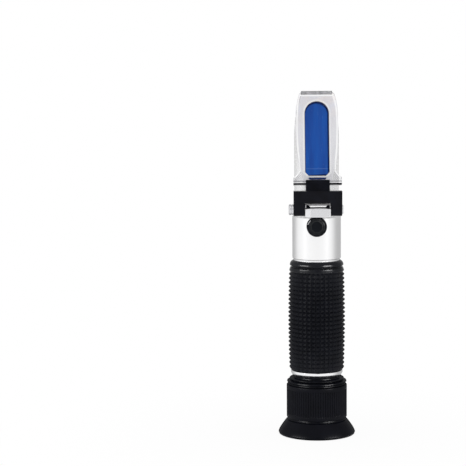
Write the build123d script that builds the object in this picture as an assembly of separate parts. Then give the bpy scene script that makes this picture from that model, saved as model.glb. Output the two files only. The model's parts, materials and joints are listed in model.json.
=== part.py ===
from build123d import *
import os
from math import cos, pi, radians, sin, sqrt

# Handheld optical refractometer, standing on its eyecup. Millimetres.
# +Z runs up the barrel's axis to the prism end, -Y is the front, where the
# prism and its flap are, and the origin is the centre of the eyecup's rim plane.
# A depth is a distance in front of the axis, so it is -Y.

# Fits
running_gap = 0.05       # radial, shaft in its hole
hinge_pin_gap = 0.03     # radial, flap pin in the knuckle
side_gap = 0.12          # between faces that slide past each other
free_gap = 0.3           # between pieces that only pass each other

# Eyecup
rim_radius = 19.1
rim_rounding = 0.8
rim_foot_width = 2.0
eyecup_height = 8.6
eyecup_neck_radius = 14.4
flare_bulge = 0.4        # of the cup's outside, out of straight
eyecup_wall = 1.7
collar_wall = 1.4
collar_length = 4.0      # part of the eyecup that reaches up under the focus sleeve

# Focus sleeve, the ribbed rubber ring that the fingers turn
sleeve_radius = 15.0
sleeve_wall = 1.6
sleeve_length = 16.2
sleeve_edge = 0.4
sleeve_rib_count = 76
sleeve_rib_depth = 0.25
sleeve_plain_end = 1.9

# Eyepiece housing
housing_groove_depth = 0.8
housing_groove_width = 0.4
lower_ring_radius = 14.8
lower_ring_width = 1.6
upper_ring_radius = 13.8
upper_ring_width = 1.0
housing_neck_radius = 12.2
housing_neck_length = 0.45
ring_edge = 0.3
housing_shoulder_thickness = 1.4
housing_foot_height = 6.1    # height of the housing's lower end over the rim plane
retainer_recess = 0.4
retainer_bore_radius = 8.6

# Focus travel
focus_gap = 0.55         # between the housing and the ring above it, at rest
focus_travel_down = 1.8
focus_travel_up = 0.4

# Body tube and the bright ring at its rear
tube_radius = 11.4
spigot_radius = 10.9
tube_bore_radius = 9.9
rear_spigot_length = 14.2
front_spigot_length = 8.4
neck_length = 0.9
rear_ring_height = 3.0
rear_ring_radius = 12.85
rear_ring_small_radius = 12.05
rear_ring_edge = 0.25
rear_ring_land = 0.5

# Rubber grip
grip_length = 55.1
grip_seat_gap = 0.1
rib_count = 24
rib_pitch = 2.11
first_rib_height = 1.6   # first rib's crest over the grip's lower end
rib_end_radius = 13.62
rib_bulge = 0.5          # crests stand this much further out half way up
rib_valley_radius = 13.12
grip_end_radius = 12.75
grip_end_length = 0.4
bead_radius = 13.3
bead_width = 3.0
bead_shoulder = 2.0      # length of its slope up to the grip's top
bead_top_radius = 11.75
bead_groove_radius = 12.4
bead_rounding = 0.6

# Front barrel
barrel_radius = 12.0
barrel_length = 20.9
barrel_edge = 0.25

# Calibration port in the barrel
port_below_barrel_top = 4.1
port_offset = -0.5       # along X, the port sits a little left of the axis
bush_radius = 3.2
bush_well_radius = 2.2
bush_recess = 0.5
bush_inner_depth = 8.7
bush_floor_thickness = 1.2
cap_radius = 4.95
cap_thickness = 1.7
cap_button_radius = 3.6
cap_button_height = 0.3
cap_edge = 0.3
cap_stem_gap = 0.1
screw_radius = 1.5
screw_head_thickness = 0.8
screw_slot_width = 0.6
screw_slot_depth = 0.45
screw_tip_depth = 5.3
clip_radius = 2.6
clip_thickness = 0.5

# Lens carriage, the strip that bends with temperature and the objective
carriage_half_width = 7.1
carriage_height = 8.8
carriage_round_radius = 8.9
carriage_front_depth = 7.2
carriage_back_depth = 6.9
light_passage_radius = 4.8
guide_floor_thickness = 1.5
guide_rail_height = 4.5
guide_window_radius = 6.0
calibration_travel = 0.5
strip_width = 5.0
strip_thickness = 0.4
strip_overlap = 5.0
strip_drop = 10.0        # from the carriage down to the strip's lower end
small_screw_radius = 0.8
small_screw_head_radius = 1.2
small_screw_head_height = 0.8
small_screw_length = 1.4
objective_radius = 5.1
objective_thickness = 2.4
objective_cell_radius = 5.9
objective_cell_height = 5.0
objective_curve = 22.0

# Head casting
head_radius = 11.0
head_length = 59.8
head_spigot_length = 11.5
head_spigot_bore = 9.6
head_bore_stop = 0.6     # the spigot's bore ends this far below the barrel's top
head_light_bore = 7.0
nose_start = 37.5        # where the nose begins to narrow, over the barrel's top
nose_half_width = 7.3
nose_edge = 1.2
face_tilt = 12.0         # degrees between the sloping face and the axis
head_screw_radius = 0.95
head_screw_head_radius = 1.7
head_screw_below_top = 7.5
head_screw_sink = 0.06
head_screw_angle = 35.0  # degrees either side of straight back

# Prism
prism_half_width = 6.0
prism_length = 36.1
prism_tip_margin = 3.4   # from the casting's tip to the prism
prism_corner = 1.8
prism_back = 5.0         # how far the prism reaches behind the axis
prism_proud = 0.6
prism_edge = 0.25
filter_thickness = 0.5
seal_width = 0.55
exit_window_radius = 4.2

# Hinge
pin_above_barrel = 4.3
pin_depth = 12.6
pin_radius = 1.5
pin_head_radius = 2.6
pin_head_length = 2.3
pin_head_edge = 0.4
pin_tail_radius = 2.1
pin_tail_length = 0.6
pin_tail_edge = 0.45
knuckle_half_width = 6.17
knuckle_bottom = 3.6     # below the pin's axis
knuckle_chamfer = 1.8
hinge_half_depth = 2.8   # of the knuckle, about the pin
leg_end_radius = 3.2     # of the bracket's legs, about the pin

# Flap bracket
bracket_half_width = 11.8
bracket_back_gap = 0.35
crossbar_bottom = 3.3    # above the pin's axis
crossbar_top = 9.15
tongue_half_width = 5.8
tongue_root = 5.3        # above the pin's axis, inside the crossbar
tongue_top = 14.5
tongue_thickness = 1.5
bracket_edge = 0.4

# Daylight plate
plate_thickness = 2.6
plate_gap = 0.2          # between the plate and the prism
plate_back_depth = 9.75  # depth of the plate's inner face at its reference height
plate_reference = 12.2   # that height over the pin's axis
plate_length = 46.0      # from the reference to the tip, along the face
plate_rear_overhang = 0.65
plate_rear_half_width = 11.8
plate_shoulder = 2.95
plate_neck_half_width = 8.7
plate_neck_at = 5.9
plate_wide_half_width = 10.25
plate_wide_from = 18.2
plate_wide_to = 33.5
plate_round_half_width = 9.7
plate_round_at = 40.0
plate_corner_half_width = 8.5
lip_half_width = 7.6
lip_length = 1.5
lip_edge_thickness = 0.7
tenon_half_width = 5.2
tenon_length = 6.4
tenon_gap = 0.05
plate_screw_radius = 0.95
plate_screw_head_radius = 1.75
plate_screw_spacing = 6.0
plate_screw_drop = 4.0   # below the reference, along the face
plate_screw_bite = 1.3

# Ocular, the lenses that slide when the eyepiece is turned
ocular_flange_height = 1.6
ocular_length = 12.5     # of its tube, over the flange
ocular_wall = 1.25       # round the lenses
lens_seat_width = 0.6
eye_lens_thickness = 3.6
eye_lens_curve = 20.0
field_lens_thickness = 2.6
field_lens_curve = 26.0
lens_ring_height = 1.2
lens_ring_width = 1.1
key_radius = 0.9
key_below_ring = 10.4
key_reach = 0.8          # into the ocular's wall

# Reticle and light baffles inside the tube
reticle_above_ring = 7.5
reticle_mount_wall = 0.9
reticle_thickness = 1.5
reticle_mount_length = 6.0
reticle_seat_width = 1.2
reticle_seat_height = 1.5
reticle_ring_height = 1.4
baffle_heights = (22.0, 40.0)    # over the bright ring's top
baffle_thickness = 1.5
baffle_bore = 6.0

# Heights along the axis, from the rim plane up
sleeve_low = eyecup_height
sleeve_high = sleeve_low + sleeve_length
lower_ring_low = sleeve_high + housing_groove_width
lower_ring_high = lower_ring_low + lower_ring_width
upper_ring_low = lower_ring_high + housing_groove_width
upper_ring_high = upper_ring_low + upper_ring_width
housing_top = upper_ring_high + housing_neck_length
rear_ring_low = housing_top + focus_gap
rear_ring_high = rear_ring_low + rear_ring_height
grip_low = rear_ring_high + grip_seat_gap
grip_high = grip_low + grip_length
barrel_low = grip_high + neck_length
barrel_high = barrel_low + barrel_length
head_top = barrel_high + head_length
pin_height = barrel_high + pin_above_barrel
port_height = barrel_high - port_below_barrel_top
tube_low = rear_ring_low - rear_spigot_length
tube_high = barrel_low + front_spigot_length
collar_top = sleeve_low + collar_length
spigot_low = barrel_high - head_spigot_length
carriage_low = spigot_low + guide_floor_thickness + side_gap
carriage_top = carriage_low + carriage_height
prism_top = head_top - prism_tip_margin
prism_bottom = prism_top - prism_length
key_height = rear_ring_low - key_below_ring
shoulder_high = tube_low - focus_travel_up - free_gap
shoulder_low = shoulder_high - housing_shoulder_thickness
flange_high = shoulder_low - running_gap
flange_low = flange_high - ocular_flange_height
retainer_high = flange_low - running_gap
retainer_low = housing_foot_height + retainer_recess
ocular_top = flange_high + ocular_length

# Radii that follow from a fit
sleeve_seat_radius = sleeve_radius - sleeve_wall
collar_bore_radius = sleeve_seat_radius - collar_wall
housing_bore_radius = spigot_radius + running_gap + side_gap / 2
ocular_radius = tube_bore_radius - running_gap
shoulder_bore_radius = ocular_radius + running_gap
flange_radius = (ocular_radius + spigot_radius) / 2 + free_gap
housing_low_bore = flange_radius + running_gap
lens_radius = ocular_radius - ocular_wall
ocular_bore_radius = lens_radius - lens_seat_width
lens_ring_bore = lens_radius - lens_ring_width
reticle_radius = tube_bore_radius - reticle_mount_wall
reticle_mount_bore = reticle_radius - reticle_seat_width

# Reach of the solids that only cut
beyond = 60.0            # longer than anything that it cuts
cut_margin = 2.0         # how far a cut runs past the face that it opens

axis_align = (Align.CENTER, Align.CENTER, Align.MIN)


def disc(radius, low, high):
    """Upright cylinder about the axis between two heights."""
    return Pos(0, 0, low) * Cylinder(radius, high - low, align=axis_align)


def ring(outer, inner, low, high):
    """Upright tube about the axis between two heights."""
    return disc(outer, low, high) - disc(inner, low - cut_margin, high + cut_margin)


def turned(points):
    """Solid of revolution about the axis through (radius, height) points."""
    return revolve(Plane.XZ * make_face(Polyline(*points, close=True)), Axis.Z)


def toward_front(radius, height, shallow, deep):
    """Cylinder along the front direction between two depths, at a height."""
    place = Plane(origin=(0, -shallow, height), x_dir=(1, 0, 0), z_dir=(0, -1, 0))
    return place * Cylinder(radius, deep - shallow, align=axis_align)


def along_port(radius, shallow, deep):
    """Cylinder on the calibration port's axis between two depths."""
    return Pos(port_offset, 0, 0) * toward_front(radius, port_height, shallow, deep)


def across(radius, left, right):
    """Cylinder along X about the hinge pin's axis."""
    place = Plane(origin=(left, -pin_depth, pin_height), x_dir=(0, 1, 0), z_dir=(1, 0, 0))
    return place * Cylinder(radius, right - left, align=axis_align)


def block(half_width, shallow, deep, low, high):
    """Box centred on X = 0 between two depths and two heights."""
    middle = Pos(0, -(shallow + deep) / 2, (low + high) / 2)
    return middle * Box(2 * half_width, deep - shallow, high - low)


def face_plane(offset):
    """Plane parallel to the sloping face, offset outwards from the plate's inner face."""
    slope = radians(face_tilt)
    base = Plane(
        origin=(0, -plate_back_depth, pin_height + plate_reference),
        x_dir=(1, 0, 0),
        z_dir=(0, -cos(slope), sin(slope)),
    )
    return base.offset(offset)


prism_face_offset = -plate_gap
casting_face_offset = prism_face_offset - prism_proud


def in_front_of(offset):
    """Everything in front of a plane parallel to the sloping face."""
    return face_plane(offset) * Box(beyond, 4 * beyond, beyond, align=axis_align)


def mirrored_outline(half):
    """Face from the right half of an outline that starts and ends on X = 0."""
    right = make_face(Curve() + half + Line(half[-1] @ 1, half[0] @ 0))
    return right + mirror(right, Plane.YZ)


def bowed_arc(start, end, bulge):
    """Arc between two points that bows outward by that much in its middle."""
    run = end[0] - start[0]
    drop = start[1] - end[1]
    length = sqrt(run**2 + drop**2)
    middle = (
        (start[0] + end[0]) / 2 + bulge * drop / length,
        (start[1] + end[1]) / 2 + bulge * run / length)
    return ThreePointArc(start, middle, end)


def lens(radius, thickness, curve, low, face_up):
    """Plano-convex lens with its edge between two heights, bulging to one side."""
    rise = curve - sqrt(curve**2 - radius**2)
    edge = thickness - rise
    if face_up:
        flat, rim, crown = low, low + edge, low + thickness
    else:
        flat, rim, crown = low + thickness, low + rise, low
    middle_radius = radius / 2
    middle_rise = sqrt(curve**2 - middle_radius**2) - sqrt(curve**2 - radius**2)
    middle = rim + middle_rise if face_up else rim - middle_rise
    arc = ThreePointArc((radius, rim), (middle_radius, middle), (0, crown))
    outline = Curve() + Polyline((0, flat), (radius, flat), (radius, rim)) + arc
    outline += Line((0, crown), (0, flat))
    return revolve(Plane.XZ * make_face(outline), Axis.Z)


# Eyepiece


def make_eyecup():
    """Flared rubber cup, with a collar that reaches up under the focus sleeve."""
    foot_outer = rim_radius - rim_rounding
    foot_inner = foot_outer - rim_foot_width
    seat_low = housing_foot_height
    inside_neck = collar_bore_radius - eyecup_wall / 2
    outside = Polyline(
        (collar_bore_radius, collar_top),
        (sleeve_seat_radius, collar_top),
        (sleeve_seat_radius, sleeve_low),
        (eyecup_neck_radius, sleeve_low),
        (eyecup_neck_radius, sleeve_low - sleeve_edge),
    )
    flare = bowed_arc(
        (eyecup_neck_radius, sleeve_low - sleeve_edge), (rim_radius, rim_rounding), flare_bulge)
    bend = 1 - sqrt(0.5)
    rounding = ThreePointArc(
        (rim_radius, rim_rounding),
        (rim_radius - bend * rim_rounding, bend * rim_rounding),
        (foot_outer, 0),
    )
    inside = Polyline(
        (foot_outer, 0),
        (foot_inner, 0),
        (inside_neck + eyecup_wall, seat_low - eyecup_wall),
        (inside_neck, seat_low - eyecup_wall / 2),
        (inside_neck, seat_low),
        (collar_bore_radius, seat_low),
        (collar_bore_radius, collar_top),
    )
    outline = make_face(Curve() + outside + flare + rounding + inside)
    return revolve(Plane.XZ * outline, Axis.Z)


def make_focus_sleeve():
    """Rubber ring with fine upright ribs between two plain ends."""
    body = turned([
        (sleeve_seat_radius, sleeve_low),
        (sleeve_radius - sleeve_edge, sleeve_low),
        (sleeve_radius, sleeve_low + sleeve_edge),
        (sleeve_radius, sleeve_high - sleeve_edge),
        (sleeve_radius - sleeve_edge, sleeve_high),
        (sleeve_seat_radius, sleeve_high),
    ])
    groove_length = sleeve_length - 2 * sleeve_plain_end
    groove_width = pi * sleeve_radius / sleeve_rib_count
    middle = (sleeve_low + sleeve_high) / 2
    groove = Pos(sleeve_radius, 0, middle) * Box(
        2 * sleeve_rib_depth, groove_width, groove_length)
    grooves = [Rot(0, 0, 360 * i / sleeve_rib_count) * groove for i in range(sleeve_rib_count)]
    return body - grooves


def make_housing():
    """Turning eyepiece housing with its stepped rings and inner shoulder."""
    groove_radius = lower_ring_radius - housing_groove_depth
    return turned([
        (housing_bore_radius, housing_top),
        (housing_neck_radius, housing_top),
        (housing_neck_radius, upper_ring_high),
        (upper_ring_radius - 2 * ring_edge, upper_ring_high),
        (upper_ring_radius, upper_ring_high - ring_edge),
        (upper_ring_radius, upper_ring_low + ring_edge),
        (upper_ring_radius - ring_edge, upper_ring_low),
        (upper_ring_radius - ring_edge, lower_ring_high),
        (lower_ring_radius - 2 * ring_edge, lower_ring_high),
        (lower_ring_radius, lower_ring_high - ring_edge),
        (lower_ring_radius, lower_ring_low + ring_edge),
        (lower_ring_radius - ring_edge, lower_ring_low),
        (groove_radius, lower_ring_low),
        (groove_radius, sleeve_high),
        (sleeve_seat_radius, sleeve_high),
        (sleeve_seat_radius, collar_top),
        (collar_bore_radius, collar_top),
        (collar_bore_radius, housing_foot_height),
        (housing_low_bore, housing_foot_height),
        (housing_low_bore, shoulder_low),
        (shoulder_bore_radius, shoulder_low),
        (shoulder_bore_radius, shoulder_high),
        (housing_bore_radius, shoulder_high),
    ])


def make_ocular_cell():
    """Lens tube, keyed to the body tube, that the housing carries by its flange."""
    cell = disc(flange_radius, flange_low, flange_high)
    cell += disc(ocular_radius, flange_high, ocular_top)
    cell -= disc(ocular_bore_radius, flange_low - cut_margin, ocular_top + cut_margin)
    eye_seat = flange_low + lens_ring_height + eye_lens_thickness
    cell -= disc(lens_radius, flange_low - cut_margin, eye_seat)
    field_seat = ocular_top - lens_ring_height - field_lens_thickness
    cell -= disc(lens_radius, field_seat, ocular_top + cut_margin)
    slot_half = key_radius + running_gap
    slot_low = key_height - focus_travel_up - slot_half - side_gap
    slot_high = key_height + focus_travel_down + slot_half + side_gap
    slot_depth = key_reach + side_gap
    slot = Pos(0, ocular_radius, (slot_low + slot_high) / 2) * Box(
        2 * slot_half, 2 * slot_depth, slot_high - slot_low)
    return cell - slot


def make_focus_key():
    """Pin in the body tube's wall that stops the ocular from turning."""
    inner = ocular_radius - key_reach
    place = Plane(origin=(0, inner, key_height), x_dir=(1, 0, 0), z_dir=(0, 1, 0))
    return place * Cylinder(key_radius, spigot_radius - inner - side_gap, align=axis_align)


# Tube, grip and barrel


def make_body_tube():
    """Carrying tube, stepped down at both ends, with holes for the key."""
    tube = disc(spigot_radius, tube_low, rear_ring_high)
    tube += disc(tube_radius, rear_ring_high, barrel_low)
    tube += disc(spigot_radius, barrel_low, tube_high)
    tube -= disc(tube_bore_radius, tube_low - cut_margin, tube_high + cut_margin)
    place = Plane(origin=(0, 0, key_height), x_dir=(1, 0, 0), z_dir=(0, 1, 0))
    return tube - place * Cylinder(key_radius, beyond, align=axis_align)


def crest_radius(height):
    """Radius of a rib's crest, largest half way up the ribbed length."""
    half_length = (rib_count - 1) * rib_pitch / 2
    share = (height - first_rib_height - half_length) / half_length
    return rib_end_radius + rib_bulge * (1 - share**2)


def make_grip():
    """Rubber sleeve with ring ribs and one smooth bead at the top."""
    points = [
        (tube_radius, grip_low),
        (grip_end_radius, grip_low),
        (grip_end_radius, grip_low + grip_end_length),
    ]
    for i in range(rib_count):
        height = first_rib_height + i * rib_pitch
        valley = grip_low + height - rib_pitch / 2
        if i > 0:
            points.append((rib_valley_radius, valley))
        points.append((crest_radius(height), grip_low + height))
    bead_low = grip_high - bead_width
    points += [
        (bead_groove_radius, bead_low - bead_rounding),
        (bead_groove_radius, bead_low),
        (bead_radius, bead_low + bead_rounding),
        (bead_radius, grip_high - bead_shoulder),
        (bead_top_radius, grip_high),
        (tube_radius, grip_high),
    ]
    return turned(points)


def make_rear_ring():
    """Bright tapered ring between the grip and the eyepiece."""
    return turned([
        (spigot_radius, rear_ring_low),
        (rear_ring_small_radius, rear_ring_low),
        (rear_ring_radius, rear_ring_high - rear_ring_edge - rear_ring_land),
        (rear_ring_radius, rear_ring_high - rear_ring_edge),
        (rear_ring_radius - rear_ring_edge, rear_ring_high),
        (spigot_radius, rear_ring_high),
    ])


def head_screw_places():
    """Axis planes of the screws that hold the head, pointing outwards at the back."""
    places = []
    for side in (-1, 1):
        angle = radians(side * head_screw_angle)
        out = (sin(angle), cos(angle), 0)
        height = barrel_high - head_screw_below_top
        places.append(Plane(origin=(0, 0, height), x_dir=(0, 0, 1), z_dir=out))
    return places


def screw_head_top():
    """Distance from the axis of the screws' flat heads, just under the barrel's surface."""
    return sqrt(barrel_radius**2 - head_screw_head_radius**2) - head_screw_sink


def head_screw(place):
    """Countersunk screw through the barrel into the head's spigot."""
    low = head_spigot_bore + side_gap
    sink = head_screw_head_radius - head_screw_radius
    top = screw_head_top()
    shank = place * Pos(0, 0, low) * Cylinder(
        head_screw_radius, top - low, align=axis_align)
    cone = place * Pos(0, 0, top - sink) * Cone(
        head_screw_radius, head_screw_head_radius, sink, align=axis_align)
    return shank + cone


def screw_room(place):
    """Room over a countersunk head, out through the barrel's surface."""
    top = screw_head_top()
    return place * Pos(0, 0, top) * Cylinder(
        head_screw_head_radius, barrel_radius, align=axis_align)


def make_head_screws():
    """Both screws, with the slot that a driver turns."""
    slot_low = screw_head_top() - screw_slot_depth
    screws = []
    for place in head_screw_places():
        slot = place * Pos(0, 0, slot_low) * Box(
            beyond, screw_slot_width / 2, beyond, align=axis_align)
        screws.append(head_screw(place) - slot)
    return Compound(screws)


def make_barrel():
    """Smooth metal barrel with the calibration port in its front."""
    barrel = turned([
        (spigot_radius, barrel_low),
        (barrel_radius - barrel_edge, barrel_low),
        (barrel_radius, barrel_low + barrel_edge),
        (barrel_radius, barrel_high - barrel_edge),
        (barrel_radius - barrel_edge, barrel_high),
        (spigot_radius, barrel_high),
    ])
    barrel -= along_port(bush_radius, 0, beyond)
    for place in head_screw_places():
        barrel -= head_screw(place)
        barrel -= screw_room(place)
    return barrel


# Calibration port


bush_front_depth = barrel_radius - bush_recess
well_floor_depth = bush_inner_depth + bush_floor_thickness
screw_head_low = well_floor_depth + running_gap
stem_tip_depth = screw_head_low + screw_head_thickness + side_gap
cap_seat_depth = barrel_radius + side_gap


def make_bush():
    """Bush through the barrel's wall that holds the calibration screw."""
    bush = along_port(bush_radius, bush_inner_depth, bush_front_depth)
    bush -= along_port(screw_radius + running_gap, 0, beyond)
    return bush - along_port(bush_well_radius, well_floor_depth, beyond)


def make_calibration_screw():
    """Slotted screw, held in the bush, whose thread moves the lens carriage."""
    head_top_depth = screw_head_low + screw_head_thickness
    head_radius_here = bush_well_radius - side_gap
    screw = along_port(screw_radius, screw_tip_depth, screw_head_low)
    screw += along_port(head_radius_here, screw_head_low, head_top_depth)
    slot = Pos(port_offset, -head_top_depth, port_height) * Box(
        2 * bush_well_radius, 2 * screw_slot_depth, screw_slot_width)
    return screw - slot


def make_screw_clip():
    """Clip on the screw's shank that keeps it from coming out of the bush."""
    outer = bush_inner_depth - running_gap
    clip = along_port(clip_radius, outer - clip_thickness, outer)
    clip -= along_port(screw_radius, 0, beyond)
    mouth = Pos(port_offset, -bush_inner_depth, port_height - clip_radius) * Box(
        screw_radius, 4 * clip_thickness, 2 * screw_radius)
    return clip - mouth


def make_cap():
    """Rubber cap over the port, saddled to the barrel, cut flat under the hinge."""
    front = cap_seat_depth + cap_thickness
    cap = along_port(cap_radius, 0, front)
    cap = chamfer(cap.edges().group_by(Axis.Y)[0], cap_edge)
    cap += along_port(cap_button_radius, front, front + cap_button_height)
    cap -= disc(cap_seat_depth, 0, head_top)
    stem_radius = bush_well_radius - cap_stem_gap
    cap += along_port(stem_radius, stem_tip_depth, cap_seat_depth + side_gap)
    flat_height = pin_height - knuckle_bottom - free_gap
    return cap - Pos(0, 0, flat_height) * Box(beyond, beyond, beyond, align=axis_align)


# Lens carriage and objective


def make_guide():
    """Floor and two rails inside the head's spigot that the carriage slides between."""
    floor_top = spigot_low + guide_floor_thickness
    guide = disc(head_spigot_bore, spigot_low, floor_top + guide_rail_height)
    channel = carriage_half_width + side_gap
    guide -= Pos(0, 0, floor_top) * Box(2 * channel, beyond, beyond, align=axis_align)
    guide -= disc(guide_window_radius, 0, head_top)
    strip_room = carriage_back_depth + small_screw_head_height + calibration_travel
    strip_room += strip_thickness + free_gap
    half_width = strip_width / 2 + free_gap
    return guide - block(half_width, -strip_room, 0, 0, head_top)


def make_carriage():
    """Block that the calibration screw moves, with a passage for the light."""
    carriage = disc(carriage_round_radius, carriage_low, carriage_top)
    carriage &= block(
        carriage_half_width, -carriage_back_depth, carriage_front_depth, 0, head_top)
    carriage -= disc(light_passage_radius, 0, head_top)
    carriage -= along_port(screw_radius + running_gap, 0, beyond)
    return carriage - [small_screw(height) for height in strip_screw_heights()[:2]]


def strip_screw_heights():
    """Heights of the two carriage screws and of the one in the objective's cell."""
    spacing = strip_overlap / 2
    first = carriage_low + spacing / 2
    cell = carriage_low - strip_drop + strip_overlap / 2
    return [first, first + spacing, cell]


def small_screw(height):
    """Cheese-head screw from behind, through the strip."""
    head_seat = carriage_back_depth + strip_thickness
    shank = toward_front(
        small_screw_radius, height, -head_seat, small_screw_length - carriage_back_depth)
    head = toward_front(
        small_screw_head_radius, height, -head_seat - small_screw_head_height, -head_seat)
    return shank + head


def make_strip():
    """Two-metal strip that bends with temperature and carries the objective."""
    low = carriage_low - strip_drop
    high = carriage_low + strip_overlap
    back = carriage_back_depth + strip_thickness
    strip = block(strip_width / 2, -back, -carriage_back_depth, low, high)
    return strip - [small_screw(height) for height in strip_screw_heights()]


def make_strip_screws():
    """The three screws that hold the strip."""
    return Compound([small_screw(height) for height in strip_screw_heights()])


objective_low = carriage_low - strip_drop
objective_seat = objective_low + lens_ring_height


def make_objective_cell():
    """Ring that holds the objective, with a lug screwed to the strip."""
    high = objective_low + objective_cell_height
    cell = disc(objective_cell_radius, objective_low, high)
    cell += block(strip_width / 2, -carriage_back_depth, 0, objective_low, high)
    cell -= disc(light_passage_radius, 0, head_top)
    cell -= disc(objective_radius, objective_seat, head_top)
    return cell - small_screw(strip_screw_heights()[2])


def make_objective_ring():
    """Ring that keeps the objective in its cell."""
    low = objective_seat + objective_thickness
    return ring(objective_radius, light_passage_radius, low, low + lens_ring_height)


# Head


def make_nose_outline():
    """Front outline of the head, narrowing to the nose by one arc that starts upright."""
    start = barrel_high + nose_start
    drop = head_radius - nose_half_width
    rise = head_top - start
    curve = (drop**2 + rise**2) / (2 * drop)
    half_rise = rise / 2
    half_drop = curve - sqrt(curve**2 - half_rise**2)
    half = [
        Line((0, spigot_low), (head_radius, spigot_low)),
        Line((head_radius, spigot_low), (head_radius, start)),
        ThreePointArc(
            (head_radius, start),
            (head_radius - half_drop, start + half_rise),
            (nose_half_width, head_top)),
        Line((nose_half_width, head_top), (0, head_top)),
    ]
    return mirrored_outline(half)


def prism_outline(grow):
    """Front outline of the prism: round at the tip, bevelled at the rear."""
    half_width = prism_half_width + grow
    centre = prism_top - prism_half_width
    low = prism_bottom - grow
    bend = half_width * sqrt(0.5)
    corner = prism_corner
    half = [
        Line((0, low), (half_width - corner, low)),
        Line((half_width - corner, low), (half_width, low + corner)),
        Line((half_width, low + corner), (half_width, centre)),
        ThreePointArc((half_width, centre), (bend, centre + bend), (0, centre + half_width)),
    ]
    return mirrored_outline(half)


def prism_column(grow, behind):
    """Prism outline carried from behind the axis out to the front."""
    upright = Plane(origin=(0, behind, 0), x_dir=(1, 0, 0), z_dir=(0, -1, 0))
    return extrude(upright * prism_outline(grow), behind + head_radius)


def make_knuckle():
    """Hinge block on the front of the head."""
    low = pin_height - knuckle_bottom
    high = pin_height + hinge_half_depth
    front = pin_depth + hinge_half_depth
    side = Plane(origin=(-knuckle_half_width, 0, 0), x_dir=(0, -1, 0), z_dir=(-1, 0, 0))
    outline = make_face(Polyline(
        (0, low),
        (front, low),
        (front, high - knuckle_chamfer),
        (front - knuckle_chamfer, high),
        (0, high),
        close=True))
    return extrude(side * outline, -2 * knuckle_half_width)


def make_head():
    """Head casting: a round bar with a sloping face, the prism's pocket and a spigot."""
    upright = Plane(origin=(0, head_radius, 0), x_dir=(1, 0, 0), z_dir=(0, -1, 0))
    head = extrude(upright * make_nose_outline(), 2 * head_radius)
    head &= disc(head_radius, spigot_low, head_top)
    head -= in_front_of(casting_face_offset)
    back_edge = head.edges().filter_by(GeomType.CIRCLE).group_by(Axis.Z)[-1]
    head = chamfer(back_edge, nose_edge)
    head -= ring(beyond, spigot_radius, spigot_low - cut_margin, barrel_high)
    head += make_knuckle() - disc(head_light_bore, 0, head_top)
    head -= across(pin_radius + hinge_pin_gap, -beyond, beyond)
    head -= disc(head_spigot_bore, spigot_low - cut_margin, barrel_high - head_bore_stop)
    head -= disc(head_light_bore, spigot_low, prism_bottom - 2 * seal_width)
    head -= disc(exit_window_radius, spigot_low, prism_bottom)
    head -= prism_column(seal_width, prism_back + filter_thickness)
    head -= along_port(bush_radius, 0, barrel_radius)
    return head - [head_screw(place) for place in head_screw_places()]


def make_prism():
    """Measuring prism, a wedge whose sloping face carries the sample."""
    prism = prism_column(0, prism_back)
    prism -= in_front_of(prism_face_offset)
    rim = prism.faces().sort_by(Axis.Y)[0].edges()
    return chamfer(rim, prism_edge)


def make_filter():
    """Blue strip bonded to the back of the prism."""
    return prism_column(0, prism_back + filter_thickness) - prism_column(cut_margin, prism_back)


def make_seal():
    """Pale bedding that fixes the prism in its pocket, open for the light."""
    behind = prism_back + filter_thickness
    seal = prism_column(seal_width, behind) - prism_column(0, behind + cut_margin)
    seal -= in_front_of(casting_face_offset + prism_proud / 2)
    return seal - disc(exit_window_radius, spigot_low, prism_bottom + cut_margin)


# Flap


def make_plate_outline():
    """Outline of the clear plate in its own plane, from its rear bar to its lip."""
    rear = -plate_rear_overhang
    half = [
        Polyline(
            (0, rear),
            (plate_rear_half_width, rear),
            (plate_rear_half_width, plate_shoulder),
            (plate_neck_half_width, plate_neck_at)),
        Line((plate_neck_half_width, plate_neck_at), (plate_wide_half_width, plate_wide_from)),
        Line((plate_wide_half_width, plate_wide_from), (plate_wide_half_width, plate_wide_to)),
        ThreePointArc(
            (plate_wide_half_width, plate_wide_to),
            (plate_round_half_width, plate_round_at),
            (plate_corner_half_width, plate_length - lip_length)),
        Polyline(
            (plate_corner_half_width, plate_length - lip_length),
            (lip_half_width, plate_length - lip_length / 2),
            (lip_half_width, plate_length),
            (0, plate_length)),
    ]
    return mirrored_outline(half)


def make_plate():
    """Clear plate that spreads the sample, with a bevelled lip and a tenon."""
    plane = face_plane(0)
    plate = extrude(plane * make_plate_outline(), plate_thickness)
    bevel = plane * Pos(0, plate_length - lip_length, plate_thickness)
    drop = plate_thickness - lip_edge_thickness
    wedge = make_face(Polyline((0, 0), (lip_length, 0), (lip_length, -drop), close=True))
    side = Plane(origin=(-beyond, 0, 0), x_dir=(0, 1, 0), z_dir=(1, 0, 0))
    plate -= bevel * extrude(side * wedge, 2 * beyond)
    tenon = Pos(0, -tenon_length / 2, plate_thickness / 2) * Box(
        2 * tenon_half_width, tenon_length, plate_thickness)
    plate += plane * tenon
    return plate - [plate_screw(side) for side in (-1, 1)]


def plate_screw(side):
    """Countersunk screw from the plate's inner face into the bracket."""
    sink = plate_screw_head_radius - plate_screw_radius
    place = face_plane(0) * Pos(side * plate_screw_spacing / 2, -plate_screw_drop, 0)
    shank = place * Cylinder(
        plate_screw_radius, plate_thickness + plate_screw_bite, align=axis_align)
    head = place * Cone(
        plate_screw_head_radius, plate_screw_radius, sink, align=axis_align)
    return shank + head


def make_plate_screws():
    """Both screws, slotted."""
    slot = face_plane(0) * Pos(0, -plate_screw_drop, 0) * Box(
        beyond, screw_slot_width, screw_slot_depth)
    return Compound([plate_screw(side) - slot for side in (-1, 1)])


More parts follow.
